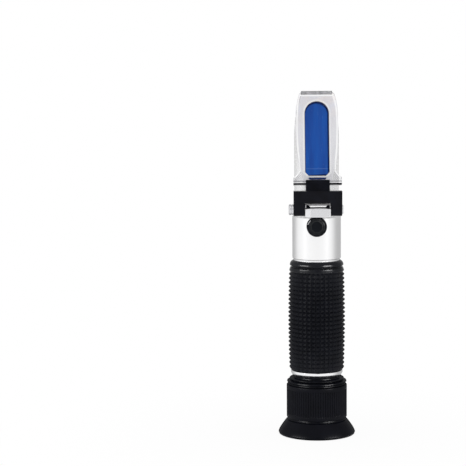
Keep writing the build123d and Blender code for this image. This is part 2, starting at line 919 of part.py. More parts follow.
def make_bracket():
    """Black bracket: two legs round the knuckle, a crossbar and a tongue on the plate."""
    back = head_radius + bracket_back_gap
    front = pin_depth + leg_end_radius
    low = pin_height + crossbar_bottom
    high = pin_height + crossbar_top
    body = block(bracket_half_width, back, front, pin_height, high)
    body += across(leg_end_radius, -bracket_half_width, bracket_half_width)
    slot = knuckle_half_width + side_gap
    body -= block(slot, 0, beyond, 0, low)
    plane = face_plane(plate_thickness)
    root = pin_height + tongue_root
    tongue = block(tongue_half_width, 0, beyond, root, pin_height + tongue_top)
    tongue -= in_front_of(plate_thickness + tongue_thickness)
    tongue &= plane * Box(beyond, 4 * beyond, beyond, align=axis_align)
    body += tongue
    room = Pos(0, -tenon_length / 2, (plate_thickness - cut_margin) / 2) * Box(
        2 * (tenon_half_width + tenon_gap),
        tenon_length + 2 * tenon_gap,
        plate_thickness + cut_margin)
    body -= face_plane(0) * room
    body -= across(pin_radius, -beyond, beyond)
    body -= [plate_screw(side) for side in (-1, 1)]
    return body


def make_hinge_pin():
    """Headed pin, fixed in the bracket's legs, that turns in the knuckle."""
    pin = across(pin_radius, -bracket_half_width, bracket_half_width)
    head = across(pin_head_radius, -bracket_half_width - pin_head_length, -bracket_half_width)
    head = chamfer(head.edges().group_by(Axis.X)[0], pin_head_edge)
    tail = across(pin_tail_radius, bracket_half_width, bracket_half_width + pin_tail_length)
    tail = chamfer(tail.edges().group_by(Axis.X)[-1], pin_tail_edge)
    return pin + head + tail


# Inside the tube


def make_reticle_mount():
    """Short tube that holds the scale glass in the body tube."""
    low = rear_ring_high + reticle_above_ring
    mount = ring(tube_bore_radius, reticle_mount_bore, low, low + reticle_mount_length)
    return mount - disc(reticle_radius, low + reticle_seat_height, head_top)


def make_reticle():
    """Glass disc that carries the scale."""
    low = rear_ring_high + reticle_above_ring + reticle_seat_height
    return disc(reticle_radius, low, low + reticle_thickness)


def make_reticle_ring():
    """Ring that keeps the scale glass on its seat."""
    low = rear_ring_high + reticle_above_ring + reticle_seat_height + reticle_thickness
    return ring(reticle_radius, reticle_mount_bore, low, low + reticle_ring_height)


def make_baffles():
    """Blackened rings that stop light that strays along the tube's wall."""
    lows = [rear_ring_high + height for height in baffle_heights]
    return Compound([
        ring(tube_bore_radius, baffle_bore, low, low + baffle_thickness) for low in lows])


eye_lens_low = flange_low + lens_ring_height
field_lens_low = ocular_top - lens_ring_height - field_lens_thickness

pieces = {
    "eyecup": make_eyecup(),
    "focus_sleeve": make_focus_sleeve(),
    "eyepiece_housing": make_housing(),
    "cell_retainer": ring(housing_low_bore, retainer_bore_radius, retainer_low, retainer_high),
    "ocular_cell": make_ocular_cell(),
    "eye_lens": lens(lens_radius, eye_lens_thickness, eye_lens_curve, eye_lens_low, True),
    "eye_lens_ring": ring(lens_radius, lens_ring_bore, flange_low, eye_lens_low),
    "field_lens": lens(
        lens_radius, field_lens_thickness, field_lens_curve, field_lens_low, False),
    "field_lens_ring": ring(
        lens_radius, lens_ring_bore, ocular_top - lens_ring_height, ocular_top),
    "focus_key": make_focus_key(),
    "rear_ring": make_rear_ring(),
    "body_tube": make_body_tube(),
    "grip_sleeve": make_grip(),
    "front_barrel": make_barrel(),
    "reticle_mount": make_reticle_mount(),
    "scale_reticle": make_reticle(),
    "reticle_ring": make_reticle_ring(),
    "light_baffles": make_baffles(),
    "calibration_bush": make_bush(),
    "calibration_screw": make_calibration_screw(),
    "screw_clip": make_screw_clip(),
    "calibration_cap": make_cap(),
    "carriage_guide": make_guide(),
    "lens_carriage": make_carriage(),
    "bimetal_strip": make_strip(),
    "strip_screws": make_strip_screws(),
    "objective_cell": make_objective_cell(),
    "objective_lens": lens(
        objective_radius, objective_thickness, objective_curve, objective_seat, True),
    "objective_ring": make_objective_ring(),
    "head_casting": make_head(),
    "head_screws": make_head_screws(),
    "main_prism": make_prism(),
    "blue_filter": make_filter(),
    "prism_seal": make_seal(),
    "flap_bracket": make_bracket(),
    "daylight_plate": make_plate(),
    "plate_screws": make_plate_screws(),
    "hinge_pin": make_hinge_pin(),
}

os.makedirs("parts", exist_ok=True)
for name, shape in pieces.items():
    export_step(shape, f"parts/{name}.step")
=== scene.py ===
import json
import math

import bmesh
import bpy
from mathutils import Euler, Matrix, Vector


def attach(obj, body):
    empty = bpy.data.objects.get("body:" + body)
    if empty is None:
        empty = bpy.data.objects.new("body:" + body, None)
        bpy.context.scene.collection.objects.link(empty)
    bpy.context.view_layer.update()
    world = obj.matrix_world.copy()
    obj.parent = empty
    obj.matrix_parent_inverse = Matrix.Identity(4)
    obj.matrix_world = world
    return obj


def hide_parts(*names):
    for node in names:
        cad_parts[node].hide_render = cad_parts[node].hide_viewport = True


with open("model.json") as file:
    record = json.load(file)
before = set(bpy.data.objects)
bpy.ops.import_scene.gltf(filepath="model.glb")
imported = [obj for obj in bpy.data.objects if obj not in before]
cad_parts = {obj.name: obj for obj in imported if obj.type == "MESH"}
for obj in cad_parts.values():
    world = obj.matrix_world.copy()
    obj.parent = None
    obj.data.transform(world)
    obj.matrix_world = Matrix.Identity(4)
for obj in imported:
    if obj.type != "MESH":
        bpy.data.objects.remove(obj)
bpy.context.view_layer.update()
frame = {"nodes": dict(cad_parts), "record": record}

# Handheld optical refractometer standing on its eyecup, in metres.
# +Z runs up the barrel's axis, -Y is the front with the prism and its flap.
# Outlines are in millimetres, as (radius, height) or (across, up), and MM makes metres of them.
# A third number in an outline's point is the radius of the rounding there.

MM = 0.001

# Camera with a long lens, a little above the part's middle and to the left of its front
PHOTO_SIDE_PX = 466
FOCAL_PX = 1750
CAMERA_PLACE = Vector((-41.36, -861.23, 193.41)) * MM
CAMERA_PITCH = 6.13      # degrees down
CAMERA_ROLL = -0.36      # degrees
SENSOR = 36.0            # millimetres
CLIP_NEAR = 0.05
CLIP_FAR = 20.0
TOWARD_CAMERA = math.atan2(CAMERA_PLACE.x, -CAMERA_PLACE.y)     # turn about Z from the front


def make_camera():
    """Camera at the photograph's viewing angle, without shift or depth of field."""
    data = bpy.data.cameras.new("camera")
    data.sensor_width = SENSOR
    data.lens = FOCAL_PX * SENSOR / PHOTO_SIDE_PX
    data.clip_start = CLIP_NEAR
    data.clip_end = CLIP_FAR
    camera = bpy.data.objects.new("camera", data)
    bpy.context.scene.collection.objects.link(camera)
    tilt = Euler((math.radians(90 - CAMERA_PITCH), 0, 0)).to_matrix().to_4x4()
    roll = Matrix.Rotation(math.radians(CAMERA_ROLL), 4, "Z")
    camera.matrix_world = Matrix.Translation(CAMERA_PLACE) @ tilt @ roll
    bpy.context.scene.camera = camera


# Node helpers

def link(tree, from_socket, to_socket):
    tree.links.new(from_socket, to_socket)


def feed(tree, value, socket):
    """Gives a socket its value: another socket's, a number or a colour of three numbers."""
    if isinstance(value, (int, float)):
        socket.default_value = value
    elif isinstance(value, (tuple, list)):
        socket.default_value = (*value, 1)
    else:
        link(tree, value, socket)


def maths(tree, operation, first, second=None):
    """Math node on one or two values, each a socket or a number."""
    node = tree.nodes.new("ShaderNodeMath")
    node.operation = operation
    feed(tree, first, node.inputs[0])
    if second is not None:
        feed(tree, second, node.inputs[1])
    return node.outputs[0]


def vector_maths(tree, operation, vector, second=None):
    """Vector math node on a socket, and on a fixed vector if one is given."""
    node = tree.nodes.new("ShaderNodeVectorMath")
    node.operation = operation
    link(tree, vector, node.inputs[0])
    if second is not None:
        node.inputs[1].default_value = second
    return node


def along(tree, direction, axis):
    """Dot product of a direction's socket with an axis."""
    return vector_maths(tree, "DOT_PRODUCT", direction, axis).outputs["Value"]


def remap(tree, value, from_low, from_high, to_low, to_high, smooth=False):
    """Maps a value's range onto another, clamped at both ends."""
    node = tree.nodes.new("ShaderNodeMapRange")
    if smooth:
        node.interpolation_type = "SMOOTHSTEP"
    node.inputs["From Min"].default_value = from_low
    node.inputs["From Max"].default_value = from_high
    node.inputs["To Min"].default_value = to_low
    node.inputs["To Max"].default_value = to_high
    link(tree, value, node.inputs["Value"])
    return node.outputs["Result"]


def between(tree, data_type, factor, first, second):
    """Mix node of a data type between two values, each a socket or plain."""
    node = tree.nodes.new("ShaderNodeMix")
    node.data_type = data_type
    feed(tree, first, node.inputs["A"])
    feed(tree, second, node.inputs["B"])
    link(tree, factor, node.inputs["Factor"])
    return node.outputs["Result"]


def choose(tree, factor, first, second):
    """Value between two, each a socket or a number."""
    return between(tree, "FLOAT", factor, first, second)


def colour_mix(tree, factor, first, second):
    """Colour between two, each a socket or three numbers."""
    return between(tree, "RGBA", factor, first, second)


def shader_mix(tree, factor, first, second):
    """Shader between two, by a socket."""
    node = tree.nodes.new("ShaderNodeMixShader")
    for socket, value in zip(node.inputs, (factor, first, second)):
        link(tree, value, socket)
    return node.outputs[0]


def own_place(tree):
    """Place of a point in the piece's own metres."""
    return tree.nodes.new("ShaderNodeTexCoord").outputs["Object"]


def parts_of(tree):
    """X, Y and Z of a point in the piece's own metres."""
    node = tree.nodes.new("ShaderNodeSeparateXYZ")
    link(tree, own_place(tree), node.inputs[0])
    return node.outputs["X"], node.outputs["Y"], node.outputs["Z"]


# Studio

WORLD_LEVEL = 0.95       # light from the white room on the object, 1 is white
GLOSS_FRONT = 1.0        # what gloss sees of the room in front
GLOSS_BACK = 0.50        # and at the sides and behind
GLOSS_TURN = 12.0        # the brightest part is this many degrees left of the camera
FADE_BACK = -0.45        # cosines between which the front gives way to the sides
FADE_FRONT = 0.12
THROUGH_SIDE = 0.80      # what clear pieces see at the sides, and between which cosines it fades
THROUGH_FROM = 0.0
THROUGH_TO = 0.5
DARK_LEVEL = 0.03        # the dark place above the camera that the sloping plate mirrors
DARK_INNER = 8.0         # degrees from its middle to where it starts to fade
DARK_OUTER = 12.0        # and to where it ends
PLATE_MIDDLE = Vector((0, -5, 147)) * MM
FACE_TILT = 12.0         # degrees that the sloping face leans back
FACE_UP = Vector((0, math.sin(math.radians(FACE_TILT)), math.cos(math.radians(FACE_TILT))))
FACE_OUT = Vector((0, -math.cos(math.radians(FACE_TILT)), math.sin(math.radians(FACE_TILT))))
FACE_ORIGIN = Vector((0, -9.75, 125.7)) * MM      # on the plate's inner face, at its rear

LAMP_DISTANCE = 1.2
LAMP_AIM = Vector((0, 0, 60)) * MM
LAMPS = (                # name, degrees left of the camera, degrees up, width, length, watts
    ("left_strip", 56, 12, 0.08, 0.60, 0.3),
    ("right_strip", -50, 12, 0.08, 0.60, 0.3),
)
GLINTS = (               # the same for the two that only the black pieces catch
    ("left_glint", 55, 14, 0.9, 0.16, 15.0),
    ("right_glint", -49, 14, 0.8, 0.16, 20.0),
)
GLINT_PIECES = (
    "grip_sleeve_studded", "eyepiece_housing_rings", "focus_sleeve_ribbed", "eyecup_rubber_cup",
    "cap_facets", "calibration_cap_rubber")


def mirrored_view():
    """Direction that the sloping plate's face mirrors towards the camera."""
    view = (CAMERA_PLACE - PLATE_MIDDLE).normalized()
    return 2 * FACE_OUT.dot(view) * FACE_OUT - view


def room_for_gloss(tree, direction):
    """What gloss sees in a direction: bright in front, greyer at the sides and behind."""
    turn = TOWARD_CAMERA - math.radians(GLOSS_TURN)
    front = along(tree, direction, (math.sin(turn), -math.cos(turn), 0))
    return remap(tree, front, FADE_BACK, FADE_FRONT, GLOSS_BACK, GLOSS_FRONT)


def room_for_glass(tree, direction):
    """What clear pieces see in a direction: white in front and behind, greyer at the sides."""
    front = maths(tree, "ABSOLUTE", along(tree, direction, (0, 1, 0)))
    return remap(tree, front, THROUGH_FROM, THROUGH_TO, THROUGH_SIDE, 1.0)


def make_world():
    """White room: plain light, white for the camera, greyer at its sides for gloss and glass."""
    world = bpy.data.worlds.new("studio")
    bpy.context.scene.world = world
    world.use_nodes = True
    tree = world.node_tree
    tree.nodes.clear()
    direction = tree.nodes.new("ShaderNodeTexCoord").outputs["Generated"]
    near = along(tree, direction, mirrored_view())
    outer = math.cos(math.radians(DARK_OUTER))
    inner = math.cos(math.radians(DARK_INNER))
    dark = remap(tree, near, outer, inner, 1.0, DARK_LEVEL, smooth=True)
    gloss = maths(tree, "MULTIPLY", room_for_gloss(tree, direction), dark)
    through = maths(tree, "MULTIPLY", room_for_glass(tree, direction), dark)
    path = tree.nodes.new("ShaderNodeLightPath")
    strength = choose(tree, path.outputs["Is Glossy Ray"], WORLD_LEVEL, gloss)
    strength = choose(tree, path.outputs["Is Transmission Ray"], strength, through)
    strength = choose(tree, path.outputs["Is Camera Ray"], strength, 1.0)
    background = tree.nodes.new("ShaderNodeBackground")
    background.inputs["Color"].default_value = (1, 1, 1, 1)
    link(tree, strength, background.inputs["Strength"])
    output = tree.nodes.new("ShaderNodeOutputWorld")
    link(tree, background.outputs[0], output.inputs["Surface"])


def make_lamps(lamps, receivers=None):
    """Area lights in front, at the camera's sides. Receivers are all that they light, if given."""
    for name, left, up, width, length, watts in lamps:
        turn = TOWARD_CAMERA - math.radians(left)
        rise = math.radians(up)
        away = Vector((
            math.sin(turn) * math.cos(rise),
            -math.cos(turn) * math.cos(rise),
            math.sin(rise)))
        data = bpy.data.lights.new(name, "AREA")
        data.shape = "RECTANGLE"
        data.size = width
        data.size_y = length
        data.energy = watts
        lamp = bpy.data.objects.new(name, data)
        bpy.context.scene.collection.objects.link(lamp)
        lamp.location = LAMP_AIM + away * LAMP_DISTANCE
        lamp.rotation_euler = (-away).to_track_quat("-Z", "Y").to_euler()
        if receivers:
            lamp.light_linking.receiver_collection = receivers
            lamp.visible_diffuse = False


FLOOR_HALF = 4.0
FLOOR_WHITE = 0.90
FLOOR_GLOW_NEAR = 0.93   # how much of the white that the camera sees is the floor's own
SHADOW_FROM = 0.02       # distances between which that grows to all of it
SHADOW_REACH = 0.16


def make_floor():
    """Pale table that fades into the white room and keeps a faint shadow of the object."""
    mesh = bpy.data.meshes.new("floor")
    h = FLOOR_HALF
    mesh.from_pydata([(-h, -h, 0), (h, -h, 0), (h, h, 0), (-h, h, 0)], [], [(0, 1, 2, 3)])
    floor = bpy.data.objects.new("floor", mesh)
    bpy.context.scene.collection.objects.link(floor)
    material = bpy.data.materials.new("white_table")
    material.use_nodes = True
    tree = material.node_tree
    tree.nodes.clear()
    matt = tree.nodes.new("ShaderNodeBsdfDiffuse")
    matt.inputs["Color"].default_value = (FLOOR_WHITE,) * 3 + (1,)
    glow = tree.nodes.new("ShaderNodeEmission")
    place = own_place(tree)
    distance = vector_maths(tree, "LENGTH", place).outputs["Value"]
    share = remap(tree, distance, SHADOW_FROM, SHADOW_REACH, FLOOR_GLOW_NEAR, 1.0, smooth=True)
    outward = vector_maths(tree, "NORMALIZE", place).outputs["Vector"]
    path = tree.nodes.new("ShaderNodeLightPath")
    glossy = path.outputs["Is Glossy Ray"]
    through = path.outputs["Is Transmission Ray"]
    level = choose(tree, glossy, 1.0, room_for_gloss(tree, outward))
    level = choose(tree, through, level, room_for_glass(tree, outward))
    link(tree, level, glow.inputs["Strength"])
    seen = maths(tree, "MAXIMUM", path.outputs["Is Camera Ray"], glossy)
    seen = maths(tree, "MAXIMUM", seen, through)
    surface = shader_mix(tree, maths(tree, "MULTIPLY", seen, share), matt.outputs[0], glow.outputs[0])
    output = tree.nodes.new("ShaderNodeOutputMaterial")
    link(tree, surface, output.inputs["Surface"])
    mesh.materials.append(material)


# Materials

# Scales are blobs a metre, reliefs are metres, and a variation goes up and down from the roughness
NOISE_MIDDLE = (0.3, 0.7)    # where most of a noise's values lie
FINE_DETAIL = 3.0
TURNED = (0.02, 0.02, 1)     # noise squeezed into rings about the axis
CLOUD_SCALE = 90             # slow changes in a metal's tone
CLOUD_DARKNESS = 0.96
MARK_SCALE = 2500            # tool marks and pores
MARK_RELIEF = 4e-6
METAL_VARIATION = 0.04

SKIN_SCALE = 3200            # rubber's matt skin
SKIN_RELIEF = 1.2e-5
SKIN_VARIATION = 0.06
SKIN_CLOUD_SCALE = 150
SKIN_PALENESS = 1.6
EDGE_FROM = 0.35             # facing weights between which rubber's gloss turns to that of its edges
EDGE_TO = 0.85
SHINY_FROM = 81.4            # height over which the grip's smooth rings and its bead shine
SHINY_FADE = 0.1
SHINY_GLOSS = 0.13
SHINY_ROUGHNESS = 0.23

PEEL_SCALE = 900             # plastic's slight orange-peel
PEEL_RELIEF = 3e-6
PEEL_VARIATION = 0.03
PATCH_SCALE = 200

WIPE_SCALE = 400             # wipe marks on clear pieces
WIPE_STRETCH = (1, 1, 0.2)
WIPE_ROUGHNESS = 0.03


def new_material(name, **settings):
    """Principled material, its tree and its shader. Settings are the shader's sockets' values."""
    material = bpy.data.materials.new(name)
    material.use_nodes = True
    tree = material.node_tree
    shader = tree.nodes["Principled BSDF"]
    for socket, value in settings.items():
        shader.inputs[socket.replace("_", " ")].default_value = value
    return material, tree, shader


def grain(tree, scale, detail=2.0, stretch=(1, 1, 1)):
    """Noise in the object's own metres: scale is blobs a metre, stretch squeezes an axis."""
    mapping = tree.nodes.new("ShaderNodeMapping")
    mapping.inputs["Scale"].default_value = stretch
    link(tree, own_place(tree), mapping.inputs["Vector"])
    noise = tree.nodes.new("ShaderNodeTexNoise")
    noise.inputs["Scale"].default_value = scale
    noise.inputs["Detail"].default_value = detail
    link(tree, mapping.outputs["Vector"], noise.inputs["Vector"])
    return noise.outputs["Fac"]


def spread(tree, factor, low, high):
    """Maps a noise's middle range onto low to high."""
    return remap(tree, factor, *NOISE_MIDDLE, low, high)


def around(tree, factor, middle, variation):
    """Maps a noise's middle range onto a value and its variation."""
    return spread(tree, factor, middle - variation, middle + variation)


def tint(tree, factor, first, second):
    """Colour between two tints by a noise."""
    return colour_mix(tree, spread(tree, factor, 0, 1), first, second)


def bump(tree, shader, height, distance):
    """Fine relief of that height in metres on a shader."""
    node = tree.nodes.new("ShaderNodeBump")
    node.inputs["Strength"].default_value = 1.0
    node.inputs["Distance"].default_value = distance
    link(tree, height, node.inputs["Height"])
    link(tree, node.outputs["Normal"], shader.inputs["Normal"])


def metal(name, colour, roughness, stretch=(1, 1, 1)):
    """Machined metal with fine tool marks."""
    material, tree, shader = new_material(name, Metallic=1.0)
    marks = grain(tree, MARK_SCALE, FINE_DETAIL, stretch)
    darker = [c * CLOUD_DARKNESS for c in colour]
    link(tree, tint(tree, grain(tree, CLOUD_SCALE), colour, darker), shader.inputs["Base Color"])
    link(tree, around(tree, marks, roughness, METAL_VARIATION), shader.inputs["Roughness"])
    bump(tree, shader, marks, MARK_RELIEF)
    return material


def rubber(name, colour, roughness, gloss, edge_gloss=0.0, relief=SKIN_RELIEF, shiny_from=None):
    """Moulded rubber: near black, with a fine matt skin, and shiny above a height if one is given."""
    material, tree, shader = new_material(name, Specular_IOR_Level=gloss)
    skin = grain(tree, SKIN_SCALE, FINE_DETAIL)
    clouds = grain(tree, SKIN_CLOUD_SCALE, FINE_DETAIL)
    paler = [c * SKIN_PALENESS for c in colour]
    link(tree, tint(tree, clouds, colour, paler), shader.inputs["Base Color"])
    weight = tree.nodes.new("ShaderNodeLayerWeight")
    weight.inputs["Blend"].default_value = 0.5
    level = remap(tree, weight.outputs["Facing"], EDGE_FROM, EDGE_TO, gloss, edge_gloss)
    rough = around(tree, skin, roughness, SKIN_VARIATION)
    if shiny_from is not None:
        up = parts_of(tree)[2]
        shiny = remap(tree, up, (shiny_from - SHINY_FADE) * MM, shiny_from * MM, 0.0, 1.0)
        level = choose(tree, shiny, level, SHINY_GLOSS)
        rough = choose(tree, shiny, rough, SHINY_ROUGHNESS)
        skin = choose(tree, shiny, skin, 0.5)
    link(tree, level, shader.inputs["Specular IOR Level"])
    link(tree, rough, shader.inputs["Roughness"])
    bump(tree, shader, skin, relief)
    return material


def plastic(name, colour, roughness, gloss=0.5, paleness=1.3):
    """Smooth moulded plastic. Paleness is how many times brighter its palest patches are."""
    material, tree, shader = new_material(name, Specular_IOR_Level=gloss)
    peel = grain(tree, PEEL_SCALE)
    paler = [min(c * paleness, 1.0) for c in colour]
    link(tree, tint(tree, grain(tree, PATCH_SCALE), colour, paler), shader.inputs["Base Color"])
    link(tree, around(tree, peel, roughness, PEEL_VARIATION), shader.inputs["Roughness"])
    bump(tree, shader, peel, PEEL_RELIEF)
    return material


def wipe_marks(tree, shader):
    """Faint wipe marks in the polish of a clear piece."""
    wipes = grain(tree, WIPE_SCALE, FINE_DETAIL, WIPE_STRETCH)
    link(tree, spread(tree, wipes, 0.0, WIPE_ROUGHNESS), shader.inputs["Roughness"])


def glass(name, colour, ior):
    """Clear polished glass."""
    material, tree, shader = new_material(name, Transmission_Weight=1.0, IOR=ior)
    shader.inputs["Base Color"].default_value = (*colour, 1)
    wipe_marks(tree, shader)
    return material


# The prism's outline in metres, which its blue follows, and the widths of its darker edge, which is
# painted shade
PRISM_HALF_WIDTH = 6.0 * MM
PRISM_TOP = 165.6 * MM
PRISM_BOTTOM = 129.5 * MM
PRISM_RIM_FROM = 0.3 * MM
PRISM_RIM = 0.95 * MM
# painted shade: the navy edge is wider on the right and under the arc
PRISM_RIM_LEAN = 0.05        # the edge is wider on the right by this share of the distance
PRISM_RIM_ARC = 0.11         # and under the arc by this share of the height over its centre
# painted highlight: a pale line over the prism where its rear facet starts
PRISM_LINE = 133.0 * MM      # height of the pale line where the rear facet starts
PRISM_LINE_FADE = (0.10 * MM, 0.30 * MM)
PRISM_HIGHLIGHT_SHARE = 0.45
PRISM_BLUES = ((0.0175, 0.108, 0.47), (0.0175, 0.075, 0.355))
# painted shade in navy for the edge, and a painted highlight in pale blue for the line
PRISM_PAINTED_SHADE_BLUE = (0.004, 0.014, 0.075)
PRISM_PAINTED_HIGHLIGHT_BLUE = (0.10, 0.22, 0.55)
STREAK_SCALE = 260
STREAK_STRETCH = (1.6, 1, 0.07)


def prism_blue(name):
    """Blue glass block: deep blue, with painted shade in navy round the edge and a painted highlight
    as a pale line over its rear facet.
    """
    material, tree, shader = new_material(name, Roughness=0.08, IOR=1.5)
    across, _, up = parts_of(tree)
    over_centre = maths(tree, "SUBTRACT", up, PRISM_TOP - PRISM_HALF_WIDTH)
    over_centre = maths(tree, "MAXIMUM", over_centre, 0.0)
    sides = maths(tree, "MULTIPLY", across, across)
    rise = maths(tree, "MULTIPLY", over_centre, over_centre)
    radius = maths(tree, "SQRT", maths(tree, "ADD", sides, rise))
    inside = maths(tree, "SUBTRACT", PRISM_HALF_WIDTH, radius)
    inside = maths(tree, "MINIMUM", inside, maths(tree, "SUBTRACT", up, PRISM_BOTTOM))
    inside = maths(tree, "SUBTRACT", inside, maths(tree, "MULTIPLY", across, PRISM_RIM_LEAN))
    inside = maths(tree, "SUBTRACT", inside, maths(tree, "MULTIPLY", over_centre, PRISM_RIM_ARC))
    body = tint(tree, grain(tree, STREAK_SCALE, stretch=STREAK_STRETCH), *PRISM_BLUES)
    # painted shade: the blue turns navy towards the prism's edge
    edge = remap(tree, inside, PRISM_RIM_FROM, PRISM_RIM, 0.0, 1.0, smooth=True)
    rim_shaded = colour_mix(tree, edge, PRISM_PAINTED_SHADE_BLUE, body)
    # painted highlight: pale line over the rear facet
    from_line = maths(tree, "ABSOLUTE", maths(tree, "SUBTRACT", up, PRISM_LINE))
    pale = remap(tree, from_line, *PRISM_LINE_FADE, PRISM_HIGHLIGHT_SHARE, 0.0)
    pale = maths(tree, "MULTIPLY", pale, edge)
    link(tree, colour_mix(tree, pale, rim_shaded, PRISM_PAINTED_HIGHLIGHT_BLUE), shader.inputs["Base Color"])
    return material


def on_face(tree, axis):
    """Distance from the plate's origin along one of the sloping face's axes."""
    return maths(tree, "SUBTRACT", along(tree, own_place(tree), axis), FACE_ORIGIN.dot(axis))


def band(tree, value, low, high, fade):
    """One between two values in millimetres, nothing outside, with soft ends."""
    rise = remap(tree, value, (low - fade) * MM, low * MM, 0.0, 1.0)
    fall = remap(tree, value, high * MM, (high + fade) * MM, 1.0, 0.0)
    return maths(tree, "MULTIPLY", rise, fall)


CLEAR_PASS = (0.97, 0.97, 0.975, 1)


def let_light_through(tree, shader):
    """Lets the room's and the lamps' light pass a clear piece on its way to what lies behind it."""
    path = tree.nodes.new("ShaderNodeLightPath")
    surface = shader.outputs[0]
    for ray in ("Is Diffuse Ray", "Is Shadow Ray"):
        clear = tree.nodes.new("ShaderNodeBsdfTransparent")
        clear.inputs["Color"].default_value = CLEAR_PASS
        surface = shader_mix(tree, path.outputs[ray], surface, clear.outputs[0])
    link(tree, surface, tree.nodes["Material Output"].inputs["Surface"])


# The plate's marks along and across its face, in millimetres
LIP_FROM = 44.0              # the grey front lip
LIP_FADE = 0.1
LIP_HALF_WIDTH = 7.7
LIP_SIDE_FADE = 0.2
LIP_BLOTCHES = 520
LIP_STRETCH = (1, 0.2, 0.2)
# painted sheen: faint rainbow tints over the plate's front part stand in for thin-film iridescence in
# its reflections
TINT_FROM = 26.0             # between these the faint rainbow tints set in
TINT_TO = 42.0
TINT_SHARE = 0.9
TINT_GRAINS = ((70, 2.0), (210, 1.0))    # scale and detail
# painted shade: a dark line along the plate's rear edge for the shadow gap under it, and a thin grey
# line in front of it for the shade at its bevel's edge
REAR_LINE_TO = 0.2           # the dark line along the plate's rear edge
REAR_LINE_FADE = 0.12
STEP_LINE = (1.0, 1.35, 0.1)     # the thin grey line in front of it, and its soft ends
STEP_SHARE = 0.75
HATCH_ALONG = (1.5, 5.6, 0.3)    # the fine hatching on the plate's shoulders, and its soft ends
HATCH_ACROSS = (7.8, 13.0, 0.4)
HATCH_PITCH = 0.95
HATCH_SLANT = 0.8
HATCH_WAVE = (0.1, 0.8)      # where a line fades in, from -1 between the lines to 1 on them
HATCH_SHARE = 0.55
CLEAR_TONES = ((0.992, 0.99, 0.995), (0.965, 0.965, 0.98))
# painted sheen: tones of the rainbow tints
PAINTED_SHEEN_TONES = ((1.0, 0.93, 0.88), (0.90, 0.93, 1.0))
LIP_TONES = ((0.62, 0.62, 0.63), (0.26, 0.26, 0.27))
HATCH_TONE = (0.30, 0.30, 0.33)
# painted shade: tones of the grey bevel line and the dark rear line
STEP_PAINTED_SHADE_TONE = (0.16, 0.16, 0.18)
REAR_PAINTED_SHADE_TONE = (0.006, 0.006, 0.008)


def plate_glass(name):
    """Clear plastic with a darker lip, faint rainbow tints that are painted sheen, and dark lines
    along its rear edge that are painted shade.
    """
    material, tree, shader = new_material(name, Transmission_Weight=1.0, IOR=1.45)
    wipe_marks(tree, shader)
    up = on_face(tree, FACE_UP)
    side = maths(tree, "ABSOLUTE", parts_of(tree)[0])
    clear, rainbow = (
        tint(tree, grain(tree, *size), *tones)
        for size, tones in zip(TINT_GRAINS, (CLEAR_TONES, PAINTED_SHEEN_TONES)))
    # painted sheen: rainbow tints where thin-film iridescence would show
    amount = remap(tree, up, TINT_FROM * MM, TINT_TO * MM, 0.0, TINT_SHARE)
    colour = colour_mix(tree, amount, clear, rainbow)

    wave = maths(tree, "ADD", side, maths(tree, "MULTIPLY", up, HATCH_SLANT))
    wave = maths(tree, "SINE", maths(tree, "MULTIPLY", wave, 2 * math.pi / (HATCH_PITCH * MM)))
    hatch = remap(tree, wave, *HATCH_WAVE, 0.0, HATCH_SHARE)
    hatch = maths(tree, "MULTIPLY", hatch, band(tree, up, *HATCH_ALONG))
    hatch = maths(tree, "MULTIPLY", hatch, band(tree, side, *HATCH_ACROSS))
    colour = colour_mix(tree, hatch, colour, HATCH_TONE)

    # painted shade: thin grey line at the rear bevel's edge
    step = maths(tree, "MULTIPLY", band(tree, up, *STEP_LINE), STEP_SHARE)
    colour = colour_mix(tree, step, colour, STEP_PAINTED_SHADE_TONE)

    lip_grey = tint(tree, grain(tree, LIP_BLOTCHES, stretch=LIP_STRETCH), *LIP_TONES)
    lip = remap(tree, up, LIP_FROM * MM, (LIP_FROM + LIP_FADE) * MM, 0.0, 1.0)
    lip = maths(tree, "MULTIPLY", lip, band(tree, side, 0.0, LIP_HALF_WIDTH, LIP_SIDE_FADE))
    colour = colour_mix(tree, lip, colour, lip_grey)

    # painted shade: dark line along the rear edge, for the shadow gap under it
    rear_to = REAR_LINE_TO * MM
    rear = remap(tree, up, rear_to, rear_to + REAR_LINE_FADE * MM, 1.0, 0.0)
    link(tree, colour_mix(tree, rear, colour, REAR_PAINTED_SHADE_TONE), shader.inputs["Base Color"])
    let_light_through(tree, shader)
    return material


# The head's matt faces lie further out than its sides, off the plate's inner face, in metres
HEAD_FACE_OUT = (-0.95 * MM, -0.85 * MM)
HEAD_METALLIC = (0.35, 0.05)     # how much like bare metal the sides and the faces are
HEAD_SIDE_TONES = ((0.96, 0.96, 0.965), (0.93, 0.93, 0.935))
HEAD_FACE_TONES = ((0.91, 0.905, 0.925), (0.85, 0.85, 0.87))
HEAD_ROUGHNESS = ((0.22, 0.30), (0.42, 0.50))


def cast_metal(name):
    """Head casting: bright with fine pores, matt and a little greyer on the faces seen in front."""
    material, tree, shader = new_material(name, Metallic=1.0)
    pores = grain(tree, MARK_SCALE, FINE_DETAIL)
    face = remap(tree, on_face(tree, FACE_OUT), *HEAD_FACE_OUT, 0.0, 1.0)
    clouds = grain(tree, CLOUD_SCALE)
    tones = [tint(tree, clouds, *pair) for pair in (HEAD_SIDE_TONES, HEAD_FACE_TONES)]
    rough = [spread(tree, pores, *pair) for pair in HEAD_ROUGHNESS]
    link(tree, colour_mix(tree, face, *tones), shader.inputs["Base Color"])
    link(tree, choose(tree, face, *HEAD_METALLIC), shader.inputs["Metallic"])
    link(tree, choose(tree, face, *rough), shader.inputs["Roughness"])
    bump(tree, shader, pores, MARK_RELIEF)
    return material


